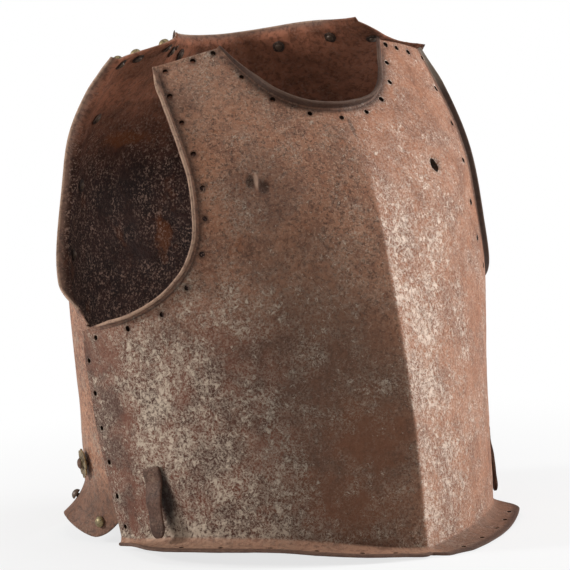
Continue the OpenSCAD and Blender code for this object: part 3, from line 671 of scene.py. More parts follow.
def build_breastplate(name):
    grime = [(place(0, side, *spot), 3.6) for side, spots in BREAST_HOLES.items() for spot in spots]
    obj = plate_mesh(0, name, grime + [(place(0, 1, *SHOT_SPOT), 7.0)])
    cuts, seed = [], 1
    for side, low_places in ((-1, FLANGE_HOLES_R), (1, FLANGE_HOLES_L)):
        for spot in BREAST_HOLES[side]:
            seed += 1
            r = HOLE_R * HOLE_WEAR[side] * (1 + 0.08 * math.sin(seed * 2.3))
            cuts.append(seated(cylinder_parts(r, PUNCH, 18, 0.05, seed), 0, spot, side))
        for t in low_places:
            seed += 1
            punch = cylinder_parts(HOLE_R * 1.05, FLANGE_PUNCH, 16, 0.05, seed)
            cuts.append(seated(punch, 0, (t, -FLANGE_STEP * 0.76), side))
        cuts.append(seated(cylinder_parts(2.42, 16, 20), 0, HOOK_SPOT[side], side))
    cuts.append(seated(shot_cutter(), 0, SHOT_SPOT, 1))
    boolean_cut(obj, cuts, "lining_punch")
    smooth(obj, 32)
    return obj


def clenched(r, end, deep, rings):
    """Profile of a spread end under a shank of radius r, by its depth and its rings' width and depth."""
    return [(0, end - deep)] + [(r + wide, end - low) for wide, low in rings] + [(r, end)]


ARMHOLE_RIVETS = [(0.636, 342.5), (0.603, 284.0), (0.69, 227.34)]
RIVET_INSET, SHOULDER_INSET = 8.0, 5.0


def by_shoulder(u, side):
    (t0, h0), (t1, h1) = B_CORNER[side], B_OUTER[side]
    return mix(t0, t1, u), mix(h0, h1, u) + shoulder_arch(u, side) - SHOULDER_INSET


def by_neck(u, side, inset=RIVET_INSET):
    t, h = back_neck_line(u, side)
    return float(t), float(h) - inset


SHOULDER_RIVETS = {side: [by_shoulder(u, side) for u in (0.86, 0.56, 0.24)] for side in (-1, 1)}
NECK_RIVETS = {side: [by_neck(u, side) for u in (0.59, 0.93 if side < 0 else 0.89)] for side in (-1, 1)}
NAPE_RIVET = (0.0, 389.0)
SKIRT_RIVETS = [(0.893, 10.5), (0.7, 17.0)]
ROSETTE_SPOT = (0.82, 54.0)
NAIL_SPOT = by_neck(0.785, -1, 3.4)
SHANK_R, SEAT, SKIRT_SEAT, HOLE_PLAY = 1.9, 0.5, 1.0, 0.12
HEAD_R, HEAD_H, WASHER_R, WASHER_T = 4.75, 4.4, 5.5, 1.0
ROSETTE_SHANK_R = 2.5


def build_backplate(name):
    obj = plate_mesh(1, name)
    cuts, r = [], SHANK_R + HOLE_PLAY
    for side in (1, -1):
        for spot in ARMHOLE_RIVETS + SHOULDER_RIVETS[side] + NECK_RIVETS[side] + SKIRT_RIVETS:
            cuts.append(seated(cylinder_parts(r, 12, 18), 1, spot, side))
        cuts.append(seated(cylinder_parts(ROSETTE_SHANK_R + HOLE_PLAY, 12, 18), 1, ROSETTE_SPOT, side))
    cuts.append(seated(cylinder_parts(r, 12, 18), 1, NAPE_RIVET, 1))
    cuts.append(seated(cylinder_parts(NAIL_R + HOLE_PLAY, 12, 14), 1, NAIL_SPOT, -1))
    boolean_cut(obj, cuts, "rivet_punch")
    smooth(obj, 32)
    return obj


def rivet_profile(through, lift):
    tail = clenched(SHANK_R, -through, 1.3, [(0.4, 1.15), (0.95, 0.6), (1, 0)]) + [(SHANK_R, lift)]
    dome = [(HEAD_R * math.cos(a), lift + 0.35 + (HEAD_H - 0.35) * math.sin(a))
            for a in np.radians([0, 14, 28, 42, 56, 69, 80])]
    return tail + [(HEAD_R * 0.98, lift)] + dome + [(0, lift + HEAD_H)]


def rivet_set(name, spots, through, lift, seed, darkened=()):
    """Domed rivets. Their tails are dark, and the whole of those listed by number in the last argument."""
    parts, tails = [], []
    for i, (spot, side) in enumerate(spots):
        verts, faces = polar_mesh(rivet_profile(through, lift), 32, 0.035, seed + i)
        tails.append((verts[:, 2] < -1) | (i in darkened))
        parts.append(seated((verts, faces), 1, spot, side))
    obj = make_object(name, parts, 50)
    mark(obj.data, "tail", "POINT", np.concatenate(tails))
    return obj


def washer_set(name, spots, seed):
    """Round washers with a slightly uneven rim, under the spread ends of the rivets."""
    parts, n = [], 30
    low = -BACK_T - SEAT - WASHER_T
    high = low + WASHER_T
    inner = SHANK_R + HOLE_PLAY
    ring = [(inner, low), (WASHER_R - 0.5, low), (WASHER_R, low + 0.3), (WASHER_R, high - 0.2),
            (WASHER_R - 0.3, high), (inner, high)]
    for i, (spot, side) in enumerate(spots):
        verts, faces = polar_mesh(ring, n)
        last = len(verts) - n
        faces += [(last + k, last + (k + 1) % n, (k + 1) % n, k) for k in range(n)]
        rng = np.random.default_rng(seed + i)
        a = np.arctan2(verts[:, 1], verts[:, 0])
        outer = np.hypot(verts[:, 0], verts[:, 1]) > inner + 0.5
        uneven = 0.05 * np.sin(2 * a + rng.uniform(0, 6)) + 0.03 * np.sin(5 * a + rng.uniform(0, 6))
        verts[:, :2] *= (1 + uneven * outer)[:, None]
        parts.append(seated((verts, faces), 1, spot, side))
    return make_object(name, parts, 40)


def strip_mesh(path, widths, thicks, segments=20, power=5.0):
    """A forged strip along a path of [y, z] points, with rounded oblong cross-sections."""
    tangent = np.gradient(path, axis=0)
    tangent /= np.linalg.norm(tangent, axis=1, keepdims=True)
    n = vec(-tangent[:, 1:], tangent[:, :1])[:, 0]
    n[n[:, 1] <= 0] *= -1
    angles = 2 * math.pi * np.arange(segments) / segments
    c, s = [np.sign(q) * np.abs(q) ** (2 / power) for q in (np.cos(angles), np.sin(angles))]
    k = thicks[:, None] / 2 * s
    verts = vec(widths[:, None] / 2 * c, path[:, :1] + k * n[:, :1], path[:, 1:] + k * n[:, 1:])
    last = (len(path) - 1) * segments
    ends = [tuple(range(segments)), tuple(reversed(range(last, last + segments)))]
    return verts.reshape(-1, 3), tube_faces(len(path), segments, False) + ends


HOOK_W, HOOK_LEN, HOOK_T, FOOT = 15.0, 51.0, 3.2, 12.0
HOOK_REACH = {-1: 11.0, 1: 5.0}
HOOK_TURN = math.radians(13)
TENON_R = 2.3


def build_hook(name, side):
    """Belt hook: a forged tongue that leaves the plate at its foot and points down, with a round tip."""
    top_y = FOOT / 2 - 0.3
    y = top_y - np.linspace(0, 1, 64) * (top_y + HOOK_LEN - 0.6)
    out = clamp((-y - FOOT / 2) / (HOOK_LEN - FOOT / 2), 0, 1)
    tip = clamp((-y - (HOOK_LEN - HOOK_W / 2)) / (HOOK_W / 2), 0, 1)
    top = clamp((y - (FOOT / 2 - 1.6)) / 1.6, 0, 1)
    z = SEAT + HOOK_T / 2 + 0.15 + HOOK_REACH[side] * (0.35 * ease(0, 0.35, out) + 0.65 * out) * 0.93
    z = z + 0.16 * np.sin(y * 0.42 + side) * out
    w = HOOK_W * mix(1.14, 0.92, ease(0, 0.6, out)) * np.sqrt(1 - np.minimum(tip, 0.97) ** 2)
    w = w * mix(1, 0.93, top) * (1 - 0.02 * np.sin(y * 0.31 + 2 * side))
    d = HOOK_T * mix(1.0, 0.8, out) * mix(1, 0.45, tip ** 3) * mix(1, 0.6, top)
    verts, faces = strip_mesh(np.stack([y, z], axis=1), w, d)
    c, s = math.cos(HOOK_TURN), math.sin(HOOK_TURN)
    tongue = (verts @ np.array([[c, -s, 0], [s, c, 0], [0, 0, 1]]), faces)
    tail = clenched(TENON_R, -BREAST_T - SEAT, 1.6, [(0.9, 1.4), (1.6, 0.6), (1.5, 0)])
    tenon = polar_mesh(tail + [(TENON_R, SEAT + 1.2), (0, SEAT + 1.2)], 26, 0.02, 7)
    return make_object(name, [seated(q, 0, HOOK_SPOT[side], side) for q in (tongue, tenon)], 45)


ROSETTE_R, PETALS, STRAP_GAP, BOSS_H = 12.5, 8, 3.0, 3.0


def rosette_top(r, a):
    """Height of the rosette's face at radius r and angle a: a boss, a hollow round it and creased petals."""
    lobe = np.abs(np.cos(a * PETALS / 2))
    boss = BOSS_H * (1 - ease(3.6, 5.4, r))
    petal = (0.9 + 1.25 * ease(4.6, 8.2, r) * (1 - 0.55 * ease(8.6, 12.5, r))) * mix(0.5, 1, lobe ** 0.7)
    vein = -0.28 * np.exp(-(np.sin(a * PETALS / 2) * r / 0.9) ** 2) * ease(5.2, 6.5, r)
    return np.maximum(boss, petal + vein)


def build_rosette(name, side):
    """Washer rosette: a thin stamped disc of eight petals round a pierced boss."""
    hole, n = ROSETTE_SHANK_R + 0.08, 128
    a = 2 * math.pi * np.arange(n) / n
    lobe = np.abs(np.cos(a * PETALS / 2))
    edge = ROSETTE_R * mix(0.81, 1.0, lobe ** 0.62) * (1 + 0.012 * np.sin(3 * a + side))
    rings = []
    for f in np.linspace(0, 1, 22):
        r = mix(hole, edge, f)
        rings.append((r, rosette_top(r, a)))
    for f in np.linspace(1, 0, 12):
        r = mix(hole, edge - 0.25, f)
        rings.append((r, np.maximum(rosette_top(r, a) - 1.1, 0.02) * (1 - 0.5 * (f > 0.98))))
    verts = np.concatenate([vec(r * np.cos(a), r * np.sin(a), z + STRAP_GAP) for r, z in rings])
    parts = (verts, tube_faces(len(rings), n, True))
    return make_object(name, [seated(parts, 1, ROSETTE_SPOT, side)], 45)


def build_rosette_rivet(name, side):
    r, top = ROSETTE_SHANK_R, STRAP_GAP + BOSS_H + 0.08
    tail = clenched(r, -BACK_T - 2 * SEAT, 1.8, [(0.9, 1.6), (1.5, 0.8), (1.5, 0)])
    cap = [((r + 2) * math.cos(q), top + 2.4 * math.sin(q)) for q in np.radians([0, 15, 30, 45, 60, 75])]
    parts = polar_mesh(tail + [(r, top)] + cap + [(0, top + 2.4)], 36)
    return make_object(name, [seated(parts, 1, ROSETTE_SPOT, side)], 45)


NAIL_R, NAIL_LEAN = 1.3, (1.7, 1.45)


def build_nail(name):
    """The stump of a nail, bent over towards the neck."""
    tail = clenched(NAIL_R, -BACK_T - SEAT, 1.2, [(0.9, 1.1), (1.2, 0.6), (1.1, 0)])
    stump = [(1, 0.6), (1.5, 2), (1.75, 4.5), (1.6, 5.8), (1.25, 6.6), (0.7, 7.1), (0, 7.3)]
    verts, faces = polar_mesh(tail + [(NAIL_R * wide, z) for wide, z in stump], 22, 0.03, 5)
    verts[:, :2] += np.outer(np.maximum(verts[:, 2], 0), NAIL_LEAN)
    return make_object(name, [seated((verts, faces), 1, NAIL_SPOT, -1)], 45)


def srgb(r, g, b):
    """A colour of 0..255 as a shader socket takes it."""
    def one(c):
        c = c / 255
        return c / 12.92 if c <= 0.04045 else ((c + 0.055) / 1.055) ** 2.4
    return (one(r), one(g), one(b), 1.0)


class Graph:
    """Short calls for the nodes of a material or world. Sizes of textures are in mm, colours are tuples of
    0..255, and a mask is a socket that gives 0..1. The colour painted so far is kept in self.colour."""

    def __init__(self, owner):
        owner.use_nodes = True
        self.owner, self.tree, self.colour = owner, owner.node_tree, None
        self.tree.nodes.clear()

    def node(self, kind, inputs, out=0, **props):
        """One output of a new node, or the node itself if it has none. Inputs are fed by name or number."""
        node = self.tree.nodes.new(kind)
        for key, value in props.items():
            setattr(node, key, value)
        for key, value in inputs.items():
            if isinstance(value, bpy.types.NodeSocket):
                self.tree.links.new(value, node.inputs[key])
            else:
                node.inputs[key].default_value = srgb(*value) if isinstance(value, tuple) else value
        return node.outputs[out] if len(node.outputs) else node

    def place(self):
        return self.node("ShaderNodeTexCoord", {}, "Object")

    def noise(self, size, detail=3.0, rough=0.5, warp=0.0, shift=0.0):
        away = [shift, shift * 0.7, -shift * 1.3]
        at = self.node("ShaderNodeMapping", {"Vector": self.place(), "Location": away})
        return self.node("ShaderNodeTexNoise", {"Vector": at, "Scale": 1000 / size, "Detail": detail,
                                                "Roughness": rough, "Distortion": warp}, "Fac")

    def attr(self, name):
        return self.node("ShaderNodeAttribute", {}, "Fac", attribute_name=name)

    def math(self, op, a, b=0.0, c=0.0):
        return self.node("ShaderNodeMath", {0: a, 1: b, 2: c}, operation=op)

    def add(self, *parts):
        total = parts[0]
        for q in parts[1:]:
            total = self.math("ADD", total, q)
        return total

    def mul(self, *parts):
        total = parts[0]
        for q in parts[1:]:
            total = self.math("MULTIPLY", total, q)
        return total

    def step(self, value, low, high, to_low=0.0, to_high=1.0):
        return self.node("ShaderNodeMapRange", {0: value, 1: low, 2: high, 3: to_low, 4: to_high},
                         interpolation_type="SMOOTHSTEP")

    def blend(self, fac, a, b):
        return self.node("ShaderNodeMix", {0: fac, 6: a, 7: b}, 2, data_type="RGBA")

    def over(self, base, mask, share, colour):
        """The base with a colour laid over it by a share of the mask."""
        return self.blend(self.mul(mask, share), base, colour)

    def paint(self, mask, share, colour):
        self.colour = self.over(self.colour, mask, share, colour)

    def read_plate(self):
        """Masks of a plate: turned lip, inside, and painted shade at the turned edges' foot with grime round
        given spots. The section place and the height are kept.
        """
        self.t, self.h = self.attr("place_t"), self.attr("place_h")
        return self.attr("lip"), self.attr("inside"), self.attr("foot")

    def region(self, t0, h0, rt, rh, rag=0.25, size=30.0, shift=0.0):
        """1 inside a ragged oval round section place t0 and height h0, 0 outside."""
        dt = self.math("DIVIDE", self.math("SUBTRACT", self.t, t0), rt)
        dh = self.math("DIVIDE", self.math("SUBTRACT", self.h, h0), rh)
        d = self.math("SQRT", self.add(self.mul(dt, dt), self.mul(dh, dh)))
        rough = self.math("MULTIPLY_ADD", self.noise(size, 3, 0.6, 0.3, shift), 4 * rag, -2 * rag)
        return self.step(self.add(d, rough), 1.3, 0.5)

    def regions(self, first, second):
        return self.math("MAXIMUM", self.region(*first), self.region(*second))

    def bump(self, height, distance_mm, strength=1.0, below=None):
        under = {} if below is None else {"Normal": below}
        return self.node("ShaderNodeBump", {"Strength": strength, "Distance": distance_mm * MM,
                                            "Height": height, **under})

    def finish(self, roughness, metallic, normal, specular=0.5):
        shader = self.node("ShaderNodeBsdfPrincipled",
                           {"Base Color": self.colour, "Roughness": roughness, "Metallic": metallic,
                            "Normal": normal, "Specular IOR Level": specular})
        self.node("ShaderNodeOutputMaterial", {"Surface": shader})
        return self.owner

    def finish_for_camera(self, kind, plain, bright, *share):
        """Ends the tree with the plain shader, and the bright one by a share that only the camera sees."""
        seen = self.mul(self.node("ShaderNodeLightPath", {}, "Is Camera Ray"), *share)
        self.node(kind, {"Surface": self.node("ShaderNodeMixShader", {0: seen, 1: plain, 2: bright})})


def worms(g, size, width, shift):
    """Thin winding lines, as rust leaves where it was rubbed back."""
    n = g.noise(size, 1.5, 0.55, 0.25, shift)
    off = g.math("ABSOLUTE", g.math("SUBTRACT", n, 0.5))
    return g.step(off, width, width * 0.25)


def speckle(g, amount, shift=0.0, even=0.0):
    """Pale specks of rubbed metal. They spread as amount grows from -1 to 1, in clouds or evenly."""
    drift = g.add(g.noise(38, 3, 0.6, 0.5, shift), g.mul(g.noise(11, 3, 0.6, 0.5, shift + 0.2), 0.6), -0.8)
    level = g.add(g.mul(drift, g.math("SUBTRACT", 1.0, even)), 0.8, g.mul(amount, 0.42))
    ragged = g.noise(4.4, 5, 0.85, 0.6, shift + 0.8)
    need = g.step(level, 0.55, 1.3, 0.66, 0.44)
    clump = g.step(g.math("SUBTRACT", ragged, need), -0.012, 0.03)
    thin = g.mul(worms(g, 2.8, 0.07, shift + 0.4), g.step(level, 0.62, 1.12), 0.6)
    dots = g.mul(g.step(g.noise(1.9, 2, 0.7, 0.2, shift + 0.6), 0.53, 0.6), g.step(level, 0.6, 1.1), 0.8)
    return g.math("MAXIMUM", g.math("MAXIMUM", thin, dots), clump)


def rust(g, light, mid_tone, dark, shift):
    """Rough rust: broad clouds of two browns, dark pits and pale grains of about 1 mm."""
    broad = g.noise(110, 3, 0.5, 0.2, shift)
    mid = g.noise(28, 4, 0.62, 0.3, shift + 0.2)
    fine = g.noise(5.0, 4, 0.68, 0.4, shift + 0.5)
    grain = g.noise(2.3, 3, 0.8, 0.3, shift + 0.9)
    pits = g.noise(3.2, 3, 0.8, 0.5, shift + 1.7)
    orange = g.noise(19, 4, 0.65, 0.6, shift + 1.3)
    g.colour = g.blend(g.step(broad, 0.35, 0.65), mid_tone, light)
    g.paint(g.step(mid, 0.44, 0.66), 0.55, dark)
    g.paint(g.step(orange, 0.54, 0.68), 0.5, (146, 84, 46))
    g.paint(g.step(fine, 0.46, 0.62), 0.5, dark)
    g.paint(g.step(pits, 0.5, 0.61), 0.7, (62, 41, 32))
    g.paint(g.step(grain, 0.51, 0.63), 0.64, (196, 154, 126))
    return mid, fine, g.add(g.mul(grain, 0.5), g.mul(pits, -0.9))


def turned_edge(g, lip, foot, fine, darkened):
    """The turned edge: a pale rim line, a darker roll and painted shade at its foot. Where the last mask is
    1, roll and rim line are painted darker, as shade.
    """
    roll = g.blend(g.step(fine, 0.4, 0.65), (126, 92, 74), (80, 57, 47))
    line = g.blend(g.step(fine, 0.45, 0.7), (178, 146, 122), (128, 98, 82))
    # painted shade at the foot of the turned edges, with grime round the holes of the breastplate
    g.paint(foot, 0.74, (46, 31, 26))
    # the roll, painted darker as shade where the last mask is 1
    g.paint(g.step(lip, 0.06, 0.3), 0.88, g.blend(darkened, roll, (58, 40, 33)))
    g.paint(g.step(lip, 0.76, 0.88), 0.7, g.blend(g.mul(darkened, 0.85), line, (80, 57, 46)))


def plate_relief(g, speck, mid, fine, rough_part, swell):
    """Surface of rusted plate: fine roughness over soft swellings of the given height in mm."""
    return g.bump(g.add(g.mul(speck, 0.4), g.mul(fine, 0.8), rough_part), 0.8, 0.9, g.bump(mid, swell, 0.6))


def blacken(g):
    """The bores of the holes are painted nearly black: rust and grime, and painted shade inside the holes."""
    g.paint(g.attr("bore"), 0.94, (26, 18, 15))


def breast_material():
    """Rust of the breastplate. In the photograph its right half is dark and its left half is lit."""
    g = Graph(bpy.data.materials.new("breastplate_rust"))
    lip, inside, foot = g.read_plate()
    t, h = g.t, g.h
    soft = g.step(h, 265, 335, 0.006, 0.1)
    right = g.step(t, soft, g.mul(soft, -1))
    left = g.math("SUBTRACT", 1.0, right)
    mid, fine, rough_part = rust(g, (172, 120, 91), (152, 104, 79), (112, 75, 59), 0.0)
    # painted light: the lit left half is painted brighter
    g.paint(left, 0.45, g.blend(g.step(mid, 0.4, 0.65), (184, 122, 90), (150, 96, 70)))
    # painted shade: the right half is painted darker towards the bottom
    g.paint(g.mul(right, g.step(h, 290, 110)), 0.5, (88, 60, 43))
    # painted shade, deepest in the middle of the right half
    centre = g.mul(g.region(-0.24, 96, 0.24, 170, 0.16, 60), right)
    g.paint(centre, 0.62, (80, 53, 37))
    orange = g.regions((-0.12, 85, 0.09, 34, 0.55, 13, 1.1), (-0.22, 34, 0.2, 24, 0.6, 14, 1.4))
    g.paint(orange, 0.3, (128, 74, 42))
    stain = g.region(-0.33, 282, 0.12, 36, 0.3, 18, 1.9)
    g.paint(stain, 0.42, (78, 56, 48))
    shoulder = g.mul(right, g.region(-0.5, 366, 0.26, 44, 0.3, 22, 2.3))
    g.paint(shoulder, 0.15, (140, 120, 106))
    # painted shade in the two pits of the dent
    dents = g.regions((-0.356, 289.5, 0.016, 6.5, 0.06, 9, 5.1), (-0.318, 285, 0.018, 7.0, 0.06, 9, 5.4))
    g.paint(dents, 0.64, (46, 31, 26))
    # painted highlight on the raised middle between the pits
    wear_and_highlight = g.region(-0.338, 290.5, 0.007, 6.5, 0.06, 9, 5.7)
    g.paint(wear_and_highlight, 0.7, (196, 160, 136))
    flank = g.mul(right, g.step(h, 250, 130), g.step(t, -0.1, -0.6))
    g.paint(flank, 0.8, g.blend(g.step(mid, 0.4, 0.6), (102, 56, 40), (66, 38, 29)))
    nick = g.region(0.012, 326, 0.007, 9, 0.5, 5, 6.3)
    g.paint(nick, 0.6, (66, 44, 35))

    # pale specks: thick on the right flank, along the low edge and beside the ridge, where they also stand
    # for a painted sheen on the lit facet
    low_edge = g.mul(right, g.step(h, 24, 4))
    beside = g.mul(left, g.step(t, 0.5, 0.02), g.step(h, 330, 230), g.step(h, 30, 170, 0.9, 1))
    above = g.mul(g.step(t, 0.0, 0.012), g.step(h, 400, 330), 0.12)
    margin = g.mul(g.step(t, -0.78, -0.93), -0.34)
    amount = g.add(g.mul(flank, 0.52), g.mul(low_edge, 0.26), g.mul(beside, 0.48), above, margin, -0.12)
    speck = speckle(g, amount, 0.0, g.math("MULTIPLY_ADD", right, -0.15, 0.45))
    blue = g.region(-0.27, 95, 0.17, 70, 0.4, 24, 0.7)
    # the specks are painted whiter on the lit left half as painted light, and greyer over the blue-grey patch
    # and in the painted shade of the middle
    pale = g.blend(right, (240, 218, 200), (198, 178, 157))
    pale = g.blend(g.math("MAXIMUM", g.mul(blue, 0.6), g.mul(centre, 0.45)), pale, (140, 130, 116))
    g.paint(speck, 0.86, pale)

    # the waist flange, the turned edges and what lies on them
    band = g.over((178, 134, 108), g.step(fine, 0.42, 0.66), 0.8, (120, 84, 66))
    band = g.over(band, g.step(t, 0.0, 0.04), 0.62, (82, 58, 47))
    g.paint(g.step(h, 0.5, -1.5), 0.8, band)
    # painted shade along the underside of the flange's rim
    g.paint(g.step(h, -7.6, -9.4), 0.75, (72, 50, 42))
    turned_edge(g, lip, foot, fine, g.step(g.math("ABSOLUTE", t), 0.48, 0.42))
    # painted shadow that the hook casts on the plate below it
    hook_shadow = g.region(-0.762, 33, 0.03, 27, 0.12, 9, 6.1)
    g.paint(hook_shadow, 0.85, (30, 20, 17))
    left_arm = g.mul(g.step(lip, 0.06, 0.3), g.step(t, 0.5, 0.56))
    g.paint(left_arm, 0.8, g.blend(g.step(h, 345, 362), (62, 48, 42), (124, 114, 102)))

    deep = g.blend(g.step(mid, 0.4, 0.7), (74, 47, 38), (50, 33, 28))
    deep = g.over(deep, speck, 0.4, (112, 94, 82))
    dark_side = g.mul(inside, g.step(lip, 0.75, 0.3), g.step(h, -1.0, 2.0))
    g.colour = g.blend(dark_side, g.colour, deep)
    blacken(g)
    normal = plate_relief(g, speck, mid, fine, rough_part, 1.8)
    rough = g.add(g.step(speck, 0, 1, 0.64, 0.5), g.mul(fine, 0.12))
    return g.finish(rough, g.mul(speck, 0.15), normal, g.step(g.attr("bore"), 0, 1, 0.32, 0.0))


# Two ochre streaks inside the backplate, as regions
STREAK_HIGH, STREAK_LOW = (-0.36, 321.0, 0.13, 7, 0.4, 14, 4.1), (-0.17, 230.0, 0.03, 18, 0.7, 9, 4.2)


def back_material():
    """Rust of the backplate, with a darker inside that is dusted with pale specks."""
    g = Graph(bpy.data.materials.new("backplate_rust"))
    lip, inside, foot = g.read_plate()
    t, h = g.t, g.h
    mid, fine, rough_part = rust(g, (168, 118, 90), (150, 102, 78), (112, 76, 60), 3.0)
    speck = speckle(g, -0.1, 3.3)
    g.paint(speck, 0.8, (196, 176, 156))
    skirt = g.mul(g.step(h, 60, 20), g.step(g.math("ABSOLUTE", t), 0.5, 0.8))
    g.paint(skirt, 0.72, g.blend(g.step(fine, 0.42, 0.64), (98, 64, 45), (68, 45, 33)))
    turned_edge(g, lip, g.mul(foot, 0.6), fine, 0.0)

    high, cloud = g.step(h, 280, 388), g.step(mid, 0.38, 0.66)
    dim, lit = g.blend(cloud, (56, 31, 24), (38, 21, 17)), g.blend(cloud, (168, 108, 82), (130, 83, 62))
    deep = g.blend(high, dim, lit)
    deep = g.over(deep, g.step(fine, 0.46, 0.62), 0.5, g.blend(high, (26, 15, 12), (74, 44, 33)))
    deep = g.over(deep, g.step(g.noise(46, 4, 0.65, 0.3, 4.4), 0.6, 0.7), 0.3, (120, 64, 30))
    deep = g.over(deep, g.regions(STREAK_HIGH, STREAK_LOW), 0.42, (134, 72, 28))
    grains = g.step(g.noise(2.1, 2, 0.65, 0.3, 4.6), 0.49, 0.62)
    dust = g.step(g.noise(6, 4, 0.8, 0.3, 4.7), 0.36, 0.6)
    drift = g.step(g.noise(60, 3, 0.6, 0.4, 4.9), 0.3, 0.5)
    pale = g.mul(g.mul(grains, dust, drift), g.step(h, 150, 260, 0.66, 0.9))
    deep = g.over(deep, pale, g.step(high, 0, 1, 1, 0.4), (158, 126, 110))

    shaded = g.mul(inside, g.step(lip, 0.9, 0.1))
    g.colour = g.blend(shaded, g.colour, deep)
    blacken(g)
    normal = plate_relief(g, speck, mid, fine, rough_part, 1.6)
    rough, shine = g.add(0.54, g.mul(fine, 0.16)), g.step(shaded, 0, 1, 0.4, 0.14)
    return g.finish(rough, g.mul(speck, 0.2), normal, shine)


def forged_material(name, light, mid_tone, dark, seed):
    """Small dark forged iron: hooks, washers and the iron rivets."""
    g = Graph(bpy.data.materials.new(name))
    broad = g.noise(14, 3, 0.55, 0.3, seed)
    fine = g.noise(2.6, 4, 0.65, 0.4, seed + 0.4)
    speck = speckle(g, -0.1, seed + 0.8)
    g.colour = g.blend(g.step(broad, 0.35, 0.65), mid_tone, light)
    g.paint(g.step(fine, 0.48, 0.7), 0.7, dark)
    g.paint(speck, 0.4, (168, 140, 120))
    normal = g.bump(g.add(fine, g.mul(speck, 0.3)), 0.4, 0.8)
    return g.finish(g.step(fine, 0.3, 0.7, 0.56, 0.72), g.mul(speck, 0.15), normal, 0.22)


def brass_material(name, light, darkened, seed):
    """Tarnished brass: greenish brown with brighter rubbed spots and dark grime in the hollows."""
    g = Graph(bpy.data.materials.new(name))
    broad = g.noise(9, 3, 0.55, 0.3, seed)
    fine = g.noise(1.8, 4, 0.6, 0.3, seed + 0.4)
    point, tail = g.node("ShaderNodeNewGeometry", {}, "Pointiness"), g.attr("tail")
    g.colour = g.blend(g.step(broad, 0.38, 0.66), darkened, light)
    g.paint(g.step(fine, 0.5, 0.72), 0.6, (74, 62, 48))
    g.paint(g.step(point, 0.5, 0.47), 0.7, (58, 46, 36))
    wear_and_highlight = g.mul(g.step(point, 0.505, 0.54), g.step(fine, 0.65, 0.4))
    g.paint(wear_and_highlight, 0.6, (196, 172, 120))
    g.paint(tail, 0.9, (78, 56, 46))
    rough = g.step(fine, 0.3, 0.7, 0.38, 0.6)
    return g.finish(rough, g.step(tail, 0, 1, 0.55, 0.15), g.bump(fine, 0.22, 0.7), 0.5)


def dress(piece, body, nodes, material):
    piece.data.materials.clear()
    piece.data.materials.append(material)
    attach(piece, body)
    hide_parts(*nodes)


def build_pieces():
    """Each piece is named after the node that it replaces, with an ending of its own."""
    iron = forged_material("hook_iron_forged", (92, 64, 51), (66, 45, 36), (34, 24, 20), 5.0)
    # the washers are painted nearly black, as dark iron and as the painted shade they lie in on the inside of
    # the plate
    washer = forged_material("washer_iron_dark_and_shaded", (78, 58, 48), (44, 32, 27), (18, 13, 11), 6.0)
    dark = forged_material("rivet_iron_dark", (104, 78, 64), (72, 52, 44), (40, 29, 26), 7.0)
    brass = brass_material("rivet_brass_tarnished", (150, 138, 108), (108, 96, 76), 8.0)
    leaf = brass_material("rosette_brass_tarnished", (146, 128, 98), (106, 88, 68), 9.0)
    through = BACK_T + SEAT + WASHER_T

    def add(node, ending, body, slot, material, build, *args):
        dress(build(node + ending, *args), body, [node], material)

    def add_rivets(node, *args):
        add(node, "_domed", "back", "rivet_brass", brass, rivet_set, *args)

    def add_washers(node, *args):
        add(node, "_cut", "back", "washer_iron", washer, washer_set, *args)

    add("breastplate", "_forged", "breast", "breastplate_iron", breast_material(), build_breastplate)
    add("backplate", "_forged", "back", "backplate_iron", back_material(), build_backplate)
    for side, hand in ((-1, "right_"), (1, "left_")):
        add(hand + "belt_hook", "_forged", "breast", "hook_iron", iron, build_hook, side)
        for part, spots, seed in (("armhole", ARMHOLE_RIVETS, 30), ("shoulder", SHOULDER_RIVETS[side], 50)):
            where = [(spot, side) for spot in spots]
            add_rivets(hand + part + "_rivets", where, through, SEAT, seed + side)
            add_washers(hand + part + "_washers", where, seed + 7 + side)
        where = [(spot, side) for spot in SKIRT_RIVETS]
        add_rivets(hand + "skirt_rivets", where, BACK_T + SKIRT_SEAT, SKIRT_SEAT, 70 + side, (1,))
        add(hand + "rosette", "_leaf", hand + "rosette", "rosette_brass", leaf, build_rosette, side)
        add(hand + "rosette_rivet", "_turned", "back", "dark_iron", dark, build_rosette_rivet, side)
    where = [(spot, 1) for spot in NECK_RIVETS[1] + [NAPE_RIVET]] + [(spot, -1) for spot in NECK_RIVETS[-1]]
    add_rivets("neck_rivets", where, through, SEAT, 90)
    add_washers("neck_washers", where, 95)
    add("broken_strap_nail", "_bent", "back", "dark_iron", dark, build_nail)


# Floor: half width and height in m, its grey, and how the camera sees it fade to white with distance
FLOOR_HALF, FLOOR_Z, FLOOR_GREY, FLOOR_FADE = 4.0, -0.0004, 0.85, (0.25, 0.75, 0.74, 1.0)


def build_floor():
    w = FLOOR_HALF
    mesh = bpy.data.meshes.new("studio_floor")
    mesh.from_pydata([(x, y, FLOOR_Z) for x, y in ((-w, -w), (w, -w), (w, w), (-w, w))], [], [(0, 1, 2, 3)])
    g = Graph(bpy.data.materials.new("studio_floor_pale"))
    plain = g.node("ShaderNodeBsdfDiffuse", {"Color": [FLOOR_GREY, FLOOR_GREY, FLOOR_GREY, 1]})
    far = g.node("ShaderNodeVectorMath", {0: g.place()}, "Value", operation="LENGTH")
    bright = g.node("ShaderNodeEmission", {})
    g.finish_for_camera("ShaderNodeOutputMaterial", plain, bright, g.step(far, *FLOOR_FADE))
    mesh.materials.append(g.owner)
    linked("studio_floor", mesh)


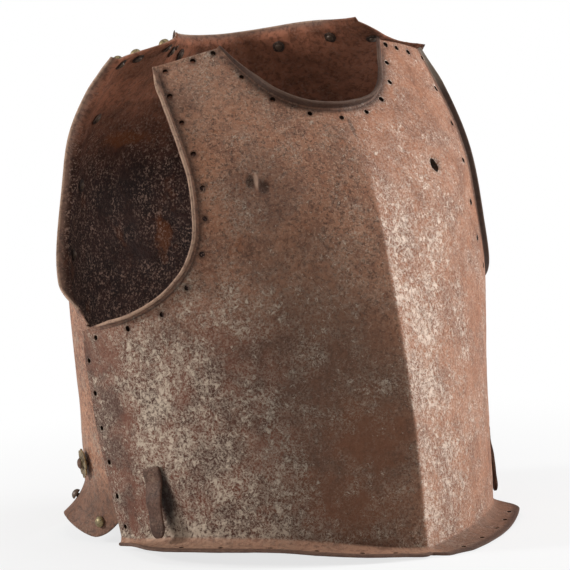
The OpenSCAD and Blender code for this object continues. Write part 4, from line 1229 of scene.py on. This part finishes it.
# Lamps: place in m, width of the disc in m and power in W. All aim at one point.
LAMPS = {"key_right": ((1.6, -0.75, 0.9), 0.9, 24), "side_left": ((-1.6, 0.75, 0.75), 0.4, 22),
         "top_soft": ((0.0, -0.5, 1.9), 1.4, 6)}
LAMP_AIM, WORLD_GLOW = (0, 0, 0.22), 0.32


def build_light():
    """Three soft lamps, and a world that is white to the camera and a weak white light to the object."""
    for name, (place_m, width, power) in LAMPS.items():
        data = bpy.data.lights.new(name, "AREA")
        data.shape, data.size, data.energy = "DISK", width, power
        lamp = linked(name, data)
        lamp.location = place_m
        lamp.rotation_euler = (Vector(LAMP_AIM) - Vector(place_m)).to_track_quat("-Z", "Y").to_euler()
    world = bpy.data.worlds.new("studio_white")
    bpy.context.scene.world = world
    g = Graph(world)
    glow, white = [g.node("ShaderNodeBackground", {"Color": [1, 1, 1, 1], "Strength": strength})
                   for strength in (WORLD_GLOW, 1.0)]
    g.finish_for_camera("ShaderNodeOutputWorld", glow, white)


# The photograph's camera, as fitted to the outline: angles in degrees, distance in m, then sizes in pixels
CAMERA = {"bearing": -32.0, "rise": 5.26, "tilt": 2.6, "distance": 2.2}
TARGET = Vector((0, -0.0295, 0.226))
PHOTO, FOCAL_PX, CENTRE_PX = 570.0, 2637.5, (313.8, 260.7)


def build_camera():
    a, e, roll = (math.radians(CAMERA[k]) for k in ("bearing", "rise", "tilt"))
    back = Vector((math.sin(a) * math.cos(e), -math.cos(a) * math.cos(e), math.sin(e)))
    right = Vector((math.cos(a), math.sin(a), 0))
    up = back.cross(right)
    right2 = math.cos(roll) * right - math.sin(roll) * up
    up2 = math.sin(roll) * right + math.cos(roll) * up
    data = bpy.data.cameras.new("photo_camera")
    data.sensor_width = 36
    data.lens = FOCAL_PX / PHOTO * data.sensor_width
    data.shift_x = (PHOTO / 2 - CENTRE_PX[0]) / PHOTO
    data.shift_y = (CENTRE_PX[1] - PHOTO / 2) / PHOTO
    data.clip_end = 50
    cam = linked("photo_camera", data)
    rotation = Matrix((right2, up2, back)).transposed().to_4x4()
    cam.matrix_world = Matrix.Translation(TARGET + CAMERA["distance"] * back) @ rotation
    bpy.context.scene.camera = cam


build_camera()
build_pieces()
build_floor()
build_light()
bpy.context.scene.view_settings.view_transform = "Standard"
